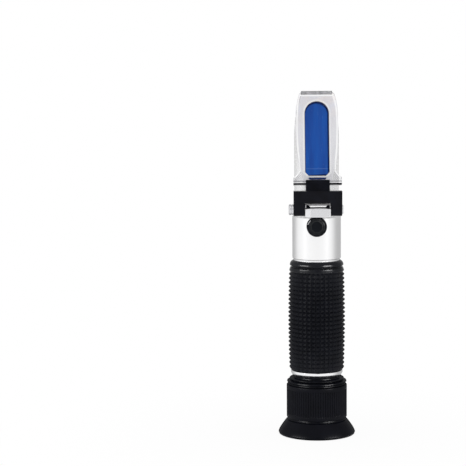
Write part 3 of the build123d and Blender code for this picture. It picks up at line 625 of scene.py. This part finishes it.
def make_materials():
    """One material for each of the record's slots, and one for the cap's facets."""
    return {
        "barrel_metal": metal("satin_barrel", (0.96, 0.96, 0.965), 0.32, TURNED),
        "tube_metal": metal("turned_tube", (0.94, 0.94, 0.95), 0.38, TURNED),
        "head_metal": cast_metal("cast_head"),
        "bright_metal": metal("bright_ring", (0.93, 0.93, 0.94), 0.16, TURNED),
        "pin_metal": metal("nickel_pin", (0.72, 0.72, 0.74), 0.28),
        "screw_steel": metal("screw_steel", (0.50, 0.50, 0.52), 0.30),
        "brass": metal("brass", (0.66, 0.50, 0.22), 0.28),
        "strip_metal": metal("bimetal", (0.50, 0.42, 0.36), 0.34),
        "black_metal": metal("black_anodised", (0.02, 0.02, 0.023), 0.45),
        "bracket_black": plastic(
            "bracket_black", (0.0018, 0.002, 0.0036), 0.30, 0.10, paleness=2.6),
        "housing_black": rubber(
            "housing_black", (0.0044, 0.0047, 0.0068), 0.22, 0.05, relief=PEEL_RELIEF),
        "grip_rubber": rubber(
            "grip_rubber", (0.0056, 0.0060, 0.0086), 0.40, 0.09, edge_gloss=0.05,
            shiny_from=SHINY_FROM),
        "sleeve_rubber": rubber("sleeve_rubber", (0.0038, 0.0040, 0.0063), 0.32, 0.055),
        "eyecup_rubber": rubber("eyecup_rubber", (0.0026, 0.0028, 0.0050), 0.26, 0.055),
        "cap_rubber": rubber("cap_rubber", (0.0034, 0.0042, 0.006), 0.28, 0.07),
        "cap_facets": rubber("cap_facets", (0.0034, 0.0046, 0.0056), 0.44, 0.17),
        "clear_plate": plate_glass("clear_plate"),
        "prism_glass": prism_blue("prism_glass"),
        "blue_filter": plastic("blue_filter", (0.006, 0.02, 0.12), 0.2),
        "pale_seal": plastic("pale_seal", (0.98, 0.985, 0.99), 0.5),
        "lens_glass": glass("lens_glass", (0.98, 0.99, 1.0), 1.52),
    }


MATERIALS = make_materials()

# Mesh helpers

# Angles are degrees and the other sizes millimetres
SMOOTH_BELOW = 28        # edges flatter than this are shaded smooth
ROUNDING_STEPS = 5       # pieces of a rounding in an outline
ROUNDING_SHARE = 0.49    # the most that a rounding takes of the lines beside it
TURN_STEPS = 192
WELD = 0.02
FLAT_BELOW = 0.5         # faces that meet flatter than this are joined
EDGE_ABOVE = 25          # edges sharper than this are rounded
EQUAL_WITHIN = 0.001
TWIST_WITHIN = 0.01      # a face whose corners are this near to one plane isn't split


def finish_piece(name, mesh, body, slot, nodes=(), look=None, sharp=SMOOTH_BELOW):
    """Smooth-shaded piece of a mesh, riding on a body in place of CAD nodes.

    It has its slot's material, or the one named as its look.
    """
    mesh.materials.clear()
    mesh.materials.append(MATERIALS[look or slot])
    mesh.shade_smooth()
    mesh.set_sharp_from_angle(angle=math.radians(sharp))
    piece = bpy.data.objects.new(name, mesh)
    bpy.context.scene.collection.objects.link(piece)
    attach(piece, body)
    if nodes:
        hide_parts(*nodes)
    return piece


def mesh_of(name, corners, faces, place=None):
    """Closed mesh from corners in millimetres, its faces turned outward."""
    mesh = bpy.data.meshes.new(name)
    mesh.from_pydata([Vector(c) * MM for c in corners], [], faces)
    if place is not None:
        mesh.transform(place)
    shell = bmesh.new()
    shell.from_mesh(mesh)
    bmesh.ops.recalc_face_normals(shell, faces=shell.faces)
    shell.to_mesh(mesh)
    shell.free()
    return mesh


def rounded(points):
    """Outline whose corners are arcs where a third number gives a rounding."""
    outline = []
    count = len(points)
    for i, point in enumerate(points):
        here = Vector(point[:2])
        if len(point) < 3:
            outline.append(tuple(here))
            continue
        before = Vector(points[i - 1][:2]) - here
        after = Vector(points[(i + 1) % count][:2]) - here
        half = before.angle(after) / 2
        reach = min(
            point[2] / math.tan(half), ROUNDING_SHARE * before.length, ROUNDING_SHARE * after.length)
        first = before.normalized() * reach
        last = after.normalized() * reach
        for step in range(ROUNDING_STEPS + 1):
            t = step / ROUNDING_STEPS
            arc = here + first * (1 - t) ** 2 + last * t ** 2
            outline.append(tuple(arc))
    return outline


def turned(outline, steps, shape=None):
    """Corners and faces of a closed outline turned about Z. Shape may change a radius by angle."""
    corners = []
    for i in range(steps):
        angle = 2 * math.pi * i / steps
        for radius, height in outline:
            if shape:
                radius = shape(angle, radius)
            corners.append((radius * math.cos(angle), radius * math.sin(angle), height))
    count = len(outline)
    faces = []
    for i in range(steps):
        near = i * count
        far = (i + 1) % steps * count
        for j in range(count):
            k = (j + 1) % count
            faces.append((near + j, near + k, far + k, far + j))
    return corners, faces


def turned_piece(
        name, points, body, slot, nodes=(), steps=TURN_STEPS, shape=None, place=None,
        sharp=SMOOTH_BELOW):
    """Turned piece from an outline with roundings."""
    corners, faces = turned(rounded(points), steps, shape)
    mesh = mesh_of(name, corners, faces, place)
    return finish_piece(name, mesh, body, slot, nodes, sharp=sharp)


def round_edges(mesh, width, segments):
    """Rounds a mesh's sharp edges, so that they catch light."""
    shell = bmesh.new()
    shell.from_mesh(mesh)
    bmesh.ops.remove_doubles(shell, verts=shell.verts, dist=WELD * MM)
    bmesh.ops.dissolve_limit(
        shell, angle_limit=math.radians(FLAT_BELOW), verts=shell.verts, edges=shell.edges)
    sharp = [
        edge for edge in shell.edges
        if len(edge.link_faces) == 2 and edge.calc_face_angle() > math.radians(EDGE_ABOVE)
    ]
    bmesh.ops.bevel(
        shell, geom=sharp, offset=width * MM, segments=segments, profile=0.5,
        affect="EDGES", clamp_overlap=True)
    shell.to_mesh(mesh)
    shell.free()


def keep_flat(piece):
    """Shades a piece's large faces flat and only the roundings between them smooth."""
    normals = piece.modifiers.new("flat_faces", "WEIGHTED_NORMAL")
    normals.keep_sharp = True
    normals.weight = 100


def softened(name, node, width, body, slot):
    """Piece in a CAD node's shape with its sharp edges rounded."""
    mesh = frame["nodes"][node].data.copy()
    mesh.name = name
    round_edges(mesh, width, 3)
    keep_flat(finish_piece(name, mesh, body, slot, [node]))


def slab(name, back, front, width, body, slot, look=None):
    """Small piece between two outlines of corners (across, depth, up), with rounded edges."""
    count = len(back)
    corners = [(x, -depth, z) for x, depth, z in back + front]
    faces = [tuple(range(count)), tuple(range(2 * count - 1, count - 1, -1))]
    faces += [(i, (i + 1) % count, count + (i + 1) % count, count + i) for i in range(count)]
    mesh = mesh_of(name, corners, faces)
    if width:
        round_edges(mesh, width, 2)
    keep_flat(finish_piece(name, mesh, body, slot, look=look))


def at_depth(outline, depth):
    """Outline of (across, up) as corners at one depth."""
    return [(x, depth, z) for x, z in outline]


def on_plane(across, up, out):
    """Corner at a place on the plate's plane, as (across, depth, up)."""
    place = FACE_ORIGIN / MM + FACE_UP * up + FACE_OUT * out
    return (across, -place.y, place.z)


def strip(name, first, second, out, body, slot, closed=False):
    """Flat strip between two rows of points (across, up) on the plate's plane.

    Out is from where to where it stands off the plane.
    """
    low, high = out
    count = len(first)
    corners = []
    for row, level in ((first, low), (second, low), (second, high), (first, high)):
        for across, up in row:
            x, depth, z = on_plane(across, up, level)
            corners.append((x, -depth, z))
    faces = []
    for i in range(count if closed else count - 1):
        j = (i + 1) % count
        for a in range(4):
            b = (a + 1) % 4
            faces.append((a * count + i, a * count + j, b * count + j, b * count + i))
    if not closed:
        faces.append(tuple(a * count for a in range(4)))
        faces.append(tuple(a * count + count - 1 for a in (3, 2, 1, 0)))
    finish_piece(name, mesh_of(name, corners, faces), body, slot)


# Pieces

RIM_RADIUS = 19.1
SLEEVE_LOW = 8.6
SLEEVE_HIGH = 25.1
SLEEVE_RADIUS = 15.0
SLEEVE_SEAT = 13.4
SLEEVE_RIBS = 76
SLEEVE_RIB_DEPTH = 0.28
SLEEVE_RIB_STEPS = 8     # corners for each rib
SLEEVE_RIB_ROUNDNESS = 0.8
SLEEVE_RIB_DIP = 0.2     # how much deeper the grooves are, as a share of the ribs' depth
SLEEVE_RAMP = 0.25       # height over which a rib rises to the plain end
SLEEVE_PLAIN_END = 1.9


def make_eyecup():
    """Flared cup with a rounded lip under the sleeve, a soft rim and its hollow inside."""
    points = [
        (SLEEVE_SEAT, 12.6),
        (SLEEVE_SEAT, SLEEVE_LOW),
        (14.52, SLEEVE_LOW, 0.1),
        (14.70, 7.75, 0.15),
        (14.42, 7.50, 0.08),
        (15.15, 7.3, 0.2),
        (15.95, 6.3),
        (16.75, 5.2),
        (17.4, 4.3),
        (18.05, 3.3),
        (18.62, 2.3),
        (RIM_RADIUS, 1.15, 0.5),
        (18.75, 0.25, 0.4),
        (17.9, 0, 0.4),
        (16.3, 0, 0.3),
        (12.85, 4.4, 0.5),
        (11.15, 5.25, 0.3),
        (11.15, 6.1),
        (12.0, 6.1),
        (12.0, 12.6),
    ]
    turned_piece("eyecup_rubber_cup", points, "eyepiece", "eyecup_rubber", ["eyecup"])


def make_focus_sleeve():
    """Ring with fine rounded upright ribs between two plain rounded ends."""
    low = SLEEVE_LOW + SLEEVE_PLAIN_END
    high = SLEEVE_HIGH - SLEEVE_PLAIN_END
    bottom = SLEEVE_RADIUS - SLEEVE_RIB_DEPTH

    def ribs(angle, radius):
        if abs(radius - bottom) > EQUAL_WITHIN:
            return radius
        wave = abs(math.sin(SLEEVE_RIBS * angle / 2)) ** SLEEVE_RIB_ROUNDNESS
        return bottom + SLEEVE_RIB_DEPTH * (wave * (1 + SLEEVE_RIB_DIP) - SLEEVE_RIB_DIP)

    points = [
        (SLEEVE_SEAT, SLEEVE_LOW),
        (SLEEVE_RADIUS, SLEEVE_LOW, 0.5),
        (SLEEVE_RADIUS, low),
        (bottom, low + SLEEVE_RAMP),
        (bottom, low + 2 * SLEEVE_RAMP),
        (bottom, high - 2 * SLEEVE_RAMP),
        (bottom, high - SLEEVE_RAMP),
        (SLEEVE_RADIUS, high),
        (SLEEVE_RADIUS, SLEEVE_HIGH, 0.5),
        (SLEEVE_SEAT, SLEEVE_HIGH),
    ]
    turned_piece(
        "focus_sleeve_ribbed", points, "eyepiece", "sleeve_rubber", ["focus_sleeve"],
        steps=SLEEVE_RIBS * SLEEVE_RIB_STEPS, shape=ribs)


def make_housing():
    """Stepped housing rings over the sleeve, with softened edges that catch light."""
    points = [
        (11.01, 28.65),
        (11.45, 28.65),
        (11.45, 29.35),
        (11.65, 29.3, 0.04),
        (11.74, 28.88),
        (12.9, 28.55),
        (13.45, 28.4, 0.06),
        (13.6, 28.0, 0.08),
        (12.8, 27.55, 0.06),
        (13.3, 27.35),
        (14.25, 27.15),
        (14.7, 27.05, 0.06),
        (14.82, 26.55, 0.1),
        (14.5, 26.2, 0.06),
        (14.1, 26.1),
        (14.3, 25.95, 0.05),
        (14.4, 25.5, 0.06),
        (13.9, 25.35, 0.1),
        (13.9, 24.8),
        (SLEEVE_SEAT, 24.8),
        (SLEEVE_SEAT, 12.6),
        (12.0, 12.6),
        (12.0, 6.1),
        (10.725, 6.1),
        (10.725, 12.9),
        (9.9, 12.9),
        (9.9, 14.3),
        (11.01, 14.3),
    ]
    turned_piece(
        "eyepiece_housing_rings", points, "eyepiece", "housing_black", ["eyepiece_housing"])


def make_rear_ring():
    """Polished tapered ring with a narrow land and broken edges, over a short black neck that is
    painted shade under the ring.
    """
    points = [
        (10.9, 29.85),
        (12.1, 29.85, 0.1),
        (12.85, 31.2, 0.15),
        (12.85, 32.4, 0.28),
        (10.9, 32.4),
    ]
    turned_piece("rear_ring_polished", points, "barrel", "bright_metal", ["rear_ring"], sharp=20)
    # painted shade: a short black neck under the bright ring, where the metal there lies in shade
    neck = [(11.02, 29.12), (11.38, 29.12), (11.38, 29.9), (11.02, 29.9)]
    turned_piece("rear_neck_painted_shade", neck, "barrel", "housing_black")


GRIP_LOW = 32.3
GRIP_HIGH = 87.4
TUBE_RADIUS = 11.4
RIB_COUNT = 24
RIB_PITCH = 2.11
FIRST_RIB = 1.6
RIB_END_RADIUS = 13.62
RIB_BULGE = 0.5
RIB_VALLEY = 12.9
STUD_COLUMNS = 36
STUD_FLAT = 0.05         # half width of a stud's flat top, as a share of the pitch
GRIP_SMOOTH_BELOW = 24


def grip_rows():
    """Rows of the grip as (valley radius, stud radius, height), from the inside to the inside."""
    half = (RIB_COUNT - 1) * RIB_PITCH / 2
    rear = [(TUBE_RADIUS, GRIP_LOW + 0.12), (12.15, GRIP_LOW + 0.12), (12.55, GRIP_LOW + 0.3)]
    rows = [(radius, radius, height) for radius, height in rear]
    for i in range(RIB_COUNT - 1):
        height = GRIP_LOW + FIRST_RIB + i * RIB_PITCH
        share = (i * RIB_PITCH - half) / half
        crest = RIB_END_RADIUS + RIB_BULGE * (1 - share ** 2)
        rows.append((RIB_VALLEY, RIB_VALLEY, height - RIB_PITCH / 2))
        rows.append((RIB_VALLEY, crest, height - STUD_FLAT * RIB_PITCH))
        rows.append((RIB_VALLEY, crest, height + STUD_FLAT * RIB_PITCH))
    bead = [
        (RIB_VALLEY, SHINY_FROM),
        (13.62, 82.35, 0.2),
        (13.5, 82.7),
        (13.26, 83.35),
        (13.21, 83.62),
        (13.05, 83.85),
        (12.45, 84.05, 0.1),
        (12.5, 84.5, 0.2),
        (13.3, 84.95, 0.25),
        (13.27, 85.35),
        (13.15, 85.95, 0.1),
        (12.7, 86.7, 0.3),
        (11.75, GRIP_HIGH),
        (TUBE_RADIUS, GRIP_HIGH),
    ]
    rows += [(radius, radius, height) for radius, height in rounded(bead)]
    return rows


def make_grip():
    """Sleeve with rings of small square studs, smooth rings and a bead at its top."""
    rows = grip_rows()
    columns = []
    for column in range(STUD_COLUMNS):
        for offset, is_stud in ((-0.5, False), (-STUD_FLAT, True), (STUD_FLAT, True)):
            columns.append(((column + offset) / STUD_COLUMNS, is_stud))
    corners = []
    for turn, is_stud in columns:
        angle = 2 * math.pi * turn
        for valley, crest, height in rows:
            radius = crest if is_stud else valley
            corners.append((radius * math.cos(angle), radius * math.sin(angle), height))
    count = len(rows)
    faces = []
    for i in range(len(columns)):
        near = i * count
        far = (i + 1) % len(columns) * count
        for j in range(count):
            k = (j + 1) % count
            quad = (near + j, near + k, far + k, far + j)
            radii = [math.hypot(*corners[c][:2]) for c in quad]
            twist = abs(radii[0] - radii[2]) - abs(radii[1] - radii[3])
            if twist > TWIST_WITHIN:
                faces += [(quad[0], quad[1], quad[2]), (quad[0], quad[2], quad[3])]
            elif twist < -TWIST_WITHIN:
                faces += [(quad[0], quad[1], quad[3]), (quad[1], quad[2], quad[3])]
            else:
                faces.append(quad)
    mesh = mesh_of("grip_sleeve_studded", corners, faces)
    finish_piece(
        "grip_sleeve_studded", mesh, "barrel", "grip_rubber", ["grip_sleeve"],
        sharp=GRIP_SMOOTH_BELOW)


BRACKET_HALF_WIDTH = 11.8
PIN_HEIGHT = 113.5
PIN_DEPTH = 12.6
PIN_RADIUS = 1.5
PIN_TAIL_RADIUS = 2.1
PIN_TAIL = 0.6           # how far the tail stands out of the bracket
PIN_HEAD_RADIUS = 2.6
PIN_GROOVE_RADIUS = 2.35
PIN_HEAD = 2.3           # how far the head does


def make_hinge_pin():
    """Turned pin across the flap's legs, with a stepped head at its left end."""
    head_end = BRACKET_HALF_WIDTH + PIN_HEAD
    tail_end = BRACKET_HALF_WIDTH + PIN_TAIL
    points = [
        (0.01, -tail_end),
        (PIN_TAIL_RADIUS, -tail_end, 0.35),
        (PIN_TAIL_RADIUS, -BRACKET_HALF_WIDTH),
        (PIN_RADIUS, -BRACKET_HALF_WIDTH),
        (PIN_RADIUS, BRACKET_HALF_WIDTH),
        (PIN_HEAD_RADIUS, BRACKET_HALF_WIDTH, 0.15),
        (PIN_HEAD_RADIUS, BRACKET_HALF_WIDTH + 0.75, 0.15),
        (PIN_GROOVE_RADIUS, BRACKET_HALF_WIDTH + 0.85),
        (PIN_GROOVE_RADIUS, BRACKET_HALF_WIDTH + 1.1),
        (PIN_HEAD_RADIUS, BRACKET_HALF_WIDTH + 1.2, 0.12),
        (PIN_HEAD_RADIUS, head_end - 0.35, 0.15),
        (2.25, head_end, 0.2),
        (0.01, head_end),
    ]
    shift = Matrix.Translation(Vector((0, -PIN_DEPTH, PIN_HEIGHT)) * MM)
    place = shift @ Matrix.Rotation(-math.pi / 2, 4, "Y")
    turned_piece(
        "hinge_pin_turned", points, "flap", "pin_metal", ["hinge_pin"], steps=64, place=place)


KNUCKLE_FRONT = 15.4
CHAMFER_LOW = 114.5
CHAMFER_SIZE = 1.8
PANEL = [(-3.4, 110.35), (5.5, 110.35), (5.5, 114.0), (-2.9, 114.0), (-3.4, 113.5)]
PANEL_OUT = (-0.1, 0.14)     # from and to, off the knuckle's front
SLAT = [(-3.7, 15.35, 114.95), (3.7, 15.35, 114.95), (4.6, 14.9, 115.72), (-4.6, 14.9, 115.72)]
SLAT_THICKNESS = 0.4
# painted shade: a black strip on the knuckle's face for the shade in the groove between panel and
# slat
SEAM = [
    (-6.1, 114.0), (-3.0, 114.24), (0.0, 114.3), (3.0, 114.24), (6.1, 114.0),
    (6.1, 114.6), (3.0, 114.8), (0.0, 114.85), (-3.0, 114.8), (-6.1, 114.6)]
SEAM_OUT = (-0.5, 0.16)
# painted reflection: black notches at the chamfer's ends for the black bracket that it mirrors
NOTCH = [(5.6, 0.7), (4.7, 0.75), (3.5, 0.2), (4.0, 0.02), (5.75, 0.02)]
NOTCH_OUT = (-0.2, 0.03)


def on_chamfer(across, share, out):
    """Corner on the knuckle's chamfer, share of the way up, standing out by some millimetres."""
    back = CHAMFER_SIZE * share
    lift = out * math.sqrt(0.5)
    return (across, KNUCKLE_FRONT - back + lift, CHAMFER_LOW + back + lift)


def make_knuckle_details():
    """Panel on the hinge block's face and the slat over it, with a black seam strip between them that
    is painted shade and black notches at its chamfer's ends that are a painted reflection of the
    bracket.
    """
    back, front = (at_depth(PANEL, KNUCKLE_FRONT + out) for out in PANEL_OUT)
    slab("knuckle_panel", back, front, 0.10, "barrel", "pin_metal")
    back = [(x, depth - SLAT_THICKNESS, z) for x, depth, z in SLAT]
    slab("knuckle_bright_slat", back, SLAT, 0.06, "barrel", "bright_metal")
    # painted shade: the black seam
    back, front = (at_depth(SEAM, KNUCKLE_FRONT + out) for out in SEAM_OUT)
    slab("knuckle_painted_shade_seam", back, front, 0, "barrel", "bracket_black")
    # painted reflection: the chamfer's dark ends
    for side, name in ((-1, "left"), (1, "right")):
        back, front = (
            [on_chamfer(side * x, share, out) for x, share in NOTCH] for out in NOTCH_OUT)
        slab(f"knuckle_shadow_notch_{name}", back, front, 0, "barrel", "bracket_black")


CAP_ACROSS = -0.5
CAP_HEIGHT = 105.1
CAP_FRONT = 13.82
FACET_COUNT = 8
FACETS = ((4.72, -0.25), (2.8, 0.55))    # radius and how far out of the cap's front
BUTTON = ((2.8, 0.3), (2.75, 0.62))
# painted highlight: three bright bars at the cap's rim stand in for a highlight line on its edge
RIM_GLINT_COUNT = 3
RIM_GLINT_TURN = 146        # degrees round the cap from its right
RIM_GLINT_OUT = 4.36
RIM_GLINT_PITCH = 0.85
RIM_GLINT_SHIFT = 0.35
RIM_GLINT_HALF_LENGTH = 0.36
RIM_GLINT_HALF_WIDTH = 0.13
RIM_GLINT_DEPTHS = (-0.3, 0.12)     # from and to, off the cap's front


def cap_ring(radius, out):
    """Eight corners round the cap's middle, so far out of its front."""
    ring = []
    for i in range(FACET_COUNT):
        angle = math.pi / FACET_COUNT * (2 * i + 1)
        across = CAP_ACROSS + radius * math.cos(angle)
        ring.append((across, CAP_FRONT + out, CAP_HEIGHT + radius * math.sin(angle)))
    return ring


def make_cap_details():
    """Eight sloping facets round the cap's button, and three small bright bars at its rim that are a
    painted highlight on its edge.
    """
    back, front = (cap_ring(*row) for row in FACETS)
    slab("cap_facets", back, front, 0.07, "cap", "cap_rubber", look="cap_facets")
    back, front = (cap_ring(*row) for row in BUTTON)
    slab("cap_button_face", back, front, 0.05, "cap", "cap_rubber")
    turn = math.radians(RIM_GLINT_TURN)
    out = Vector((math.cos(turn), math.sin(turn)))
    run = Vector((-out.y, out.x))
    middle = Vector((CAP_ACROSS, CAP_HEIGHT)) + out * RIM_GLINT_OUT
    # painted highlight: bright bars along the cap's rim
    for i in range(RIM_GLINT_COUNT):
        centre = middle + run * ((i - 1) * RIM_GLINT_PITCH + RIM_GLINT_SHIFT)
        outline = [
            tuple(centre + run * a * RIM_GLINT_HALF_LENGTH + out * b * RIM_GLINT_HALF_WIDTH)
            for a, b in ((-1, -1), (1, -1), (1, 1), (-1, 1))]
        back, front = (at_depth(outline, CAP_FRONT + depth) for depth in RIM_GLINT_DEPTHS)
        slab(f"cap_rim_glint_bar_{i}", back, front, 0.05, "cap", "bright_metal")


SEAL_OUT = (-0.9, -0.42)     # from and to, off the plate's inner face
SEAL_WIDTH = 0.9
SEAL_WIDTH_BELOW = 0.5
SILL_OUT = (-0.95, -0.40)
SILL = [(-4.3, 3.1), (4.3, 3.1), (4.3, 2.8), (3.8, 2.25), (-3.8, 2.25), (-4.3, 2.8)]
PRISM_CORNER = 1.8
ARC_STEPS = 24
# painted highlight: white strips that stand on the plate's front along its edges and its step, for
# the light that the bevelled edges catch
EDGE_GLINT_OUT = (2.35, 2.63)
EDGE_OUTER = [
    (11.5, 3.0), (10.0, 4.5), (8.75, 6.2), (8.95, 10), (9.6, 15),
    (10.0, 19.5), (10.0, 24), (10.0, 33), (9.55, 38), (9.1, 41)]
EDGE_INNER = [
    (11.1, 2.6), (9.6, 4.0), (8.3, 6.2), (8.45, 10), (8.9, 15),
    (9.25, 19.5), (9.45, 24), (9.5, 30), (9.2, 35.5), (8.75, 41)]
STEP_REAR = [(-8.3, 43.05), (8.3, 43.05)]
STEP_FRONT = [(-8.2, 43.6), (8.2, 43.6)]


def prism_line(grow, below):
    """Outline round the prism on the plate's plane, wider than the prism by so much."""
    half = PRISM_HALF_WIDTH / MM + grow
    low = PRISM_BOTTOM / MM - below
    centre = PRISM_TOP / MM - PRISM_HALF_WIDTH / MM
    points = [(-half + PRISM_CORNER, low), (half - PRISM_CORNER, low), (half, low + PRISM_CORNER)]
    for i in range(ARC_STEPS + 1):
        angle = math.pi * i / ARC_STEPS
        points.append((half * math.cos(angle), centre + half * math.sin(angle)))
    points.append((-half, low + PRISM_CORNER))
    lift = FACE_ORIGIN.z / MM + FACE_OUT.z * sum(SEAL_OUT) / 2
    return [(x, (z - lift) / FACE_UP.z) for x, z in points]


def make_face_details():
    """White bedding round the prism, a dark blue sill below it, and white strips along the plate's
    edges and step that are a painted highlight.
    """
    strip(
        "prism_bedding_bead", prism_line(0.0, 0.0), prism_line(SEAL_WIDTH, SEAL_WIDTH_BELOW),
        SEAL_OUT, "barrel", "pale_seal", closed=True)
    back, front = ([on_plane(x, up, out) for x, up in SILL] for out in SILL_OUT)
    slab("prism_sill_strip", back, front, 0.04, "barrel", "blue_filter")
    # painted highlight: white strips along the plate's edges and step
    for side, name in ((-1, "left"), (1, "right")):
        outer, inner = ([(side * x, up) for x, up in row] for row in (EDGE_OUTER, EDGE_INNER))
        strip(f"plate_painted_edge_glint_{name}", outer, inner, EDGE_GLINT_OUT, "flap", "pale_seal")
    strip("plate_painted_step_glint", STEP_REAR, STEP_FRONT, EDGE_GLINT_OUT, "flap", "pale_seal")


SOFTENED = (             # new piece, CAD node, rounding, body, slot
    ("front_barrel_satin", "front_barrel", 0.12, "barrel", "barrel_metal"),
    ("head_bar", "head_casting", 0.42, "barrel", "head_metal"),
    ("flap_bracket_black", "flap_bracket", 0.35, "flap", "bracket_black"),
    ("daylight_plate_clear", "daylight_plate", 0.30, "flap", "clear_plate"),
    ("main_prism_blue", "main_prism", 0.15, "barrel", "prism_glass"),
    ("calibration_cap_rubber", "calibration_cap", 0.30, "cap", "cap_rubber"),
)

for subpart in frame["record"]["subparts"]:
    node = frame["nodes"][subpart["node"]]
    node.data.materials.clear()
    node.data.materials.append(MATERIALS[subpart["material_slot"]])

make_eyecup()
make_focus_sleeve()
make_housing()
make_rear_ring()
make_grip()
make_hinge_pin()
make_knuckle_details()
make_cap_details()
make_face_details()
for piece in SOFTENED:
    softened(*piece)

make_camera()
make_world()
make_lamps(LAMPS)
black_pieces = bpy.data.collections.new("black_pieces")
for name in GLINT_PIECES:
    black_pieces.objects.link(bpy.data.objects[name])
make_lamps(GLINTS, black_pieces)
make_floor()

bpy.context.scene.view_settings.view_transform = "Standard"
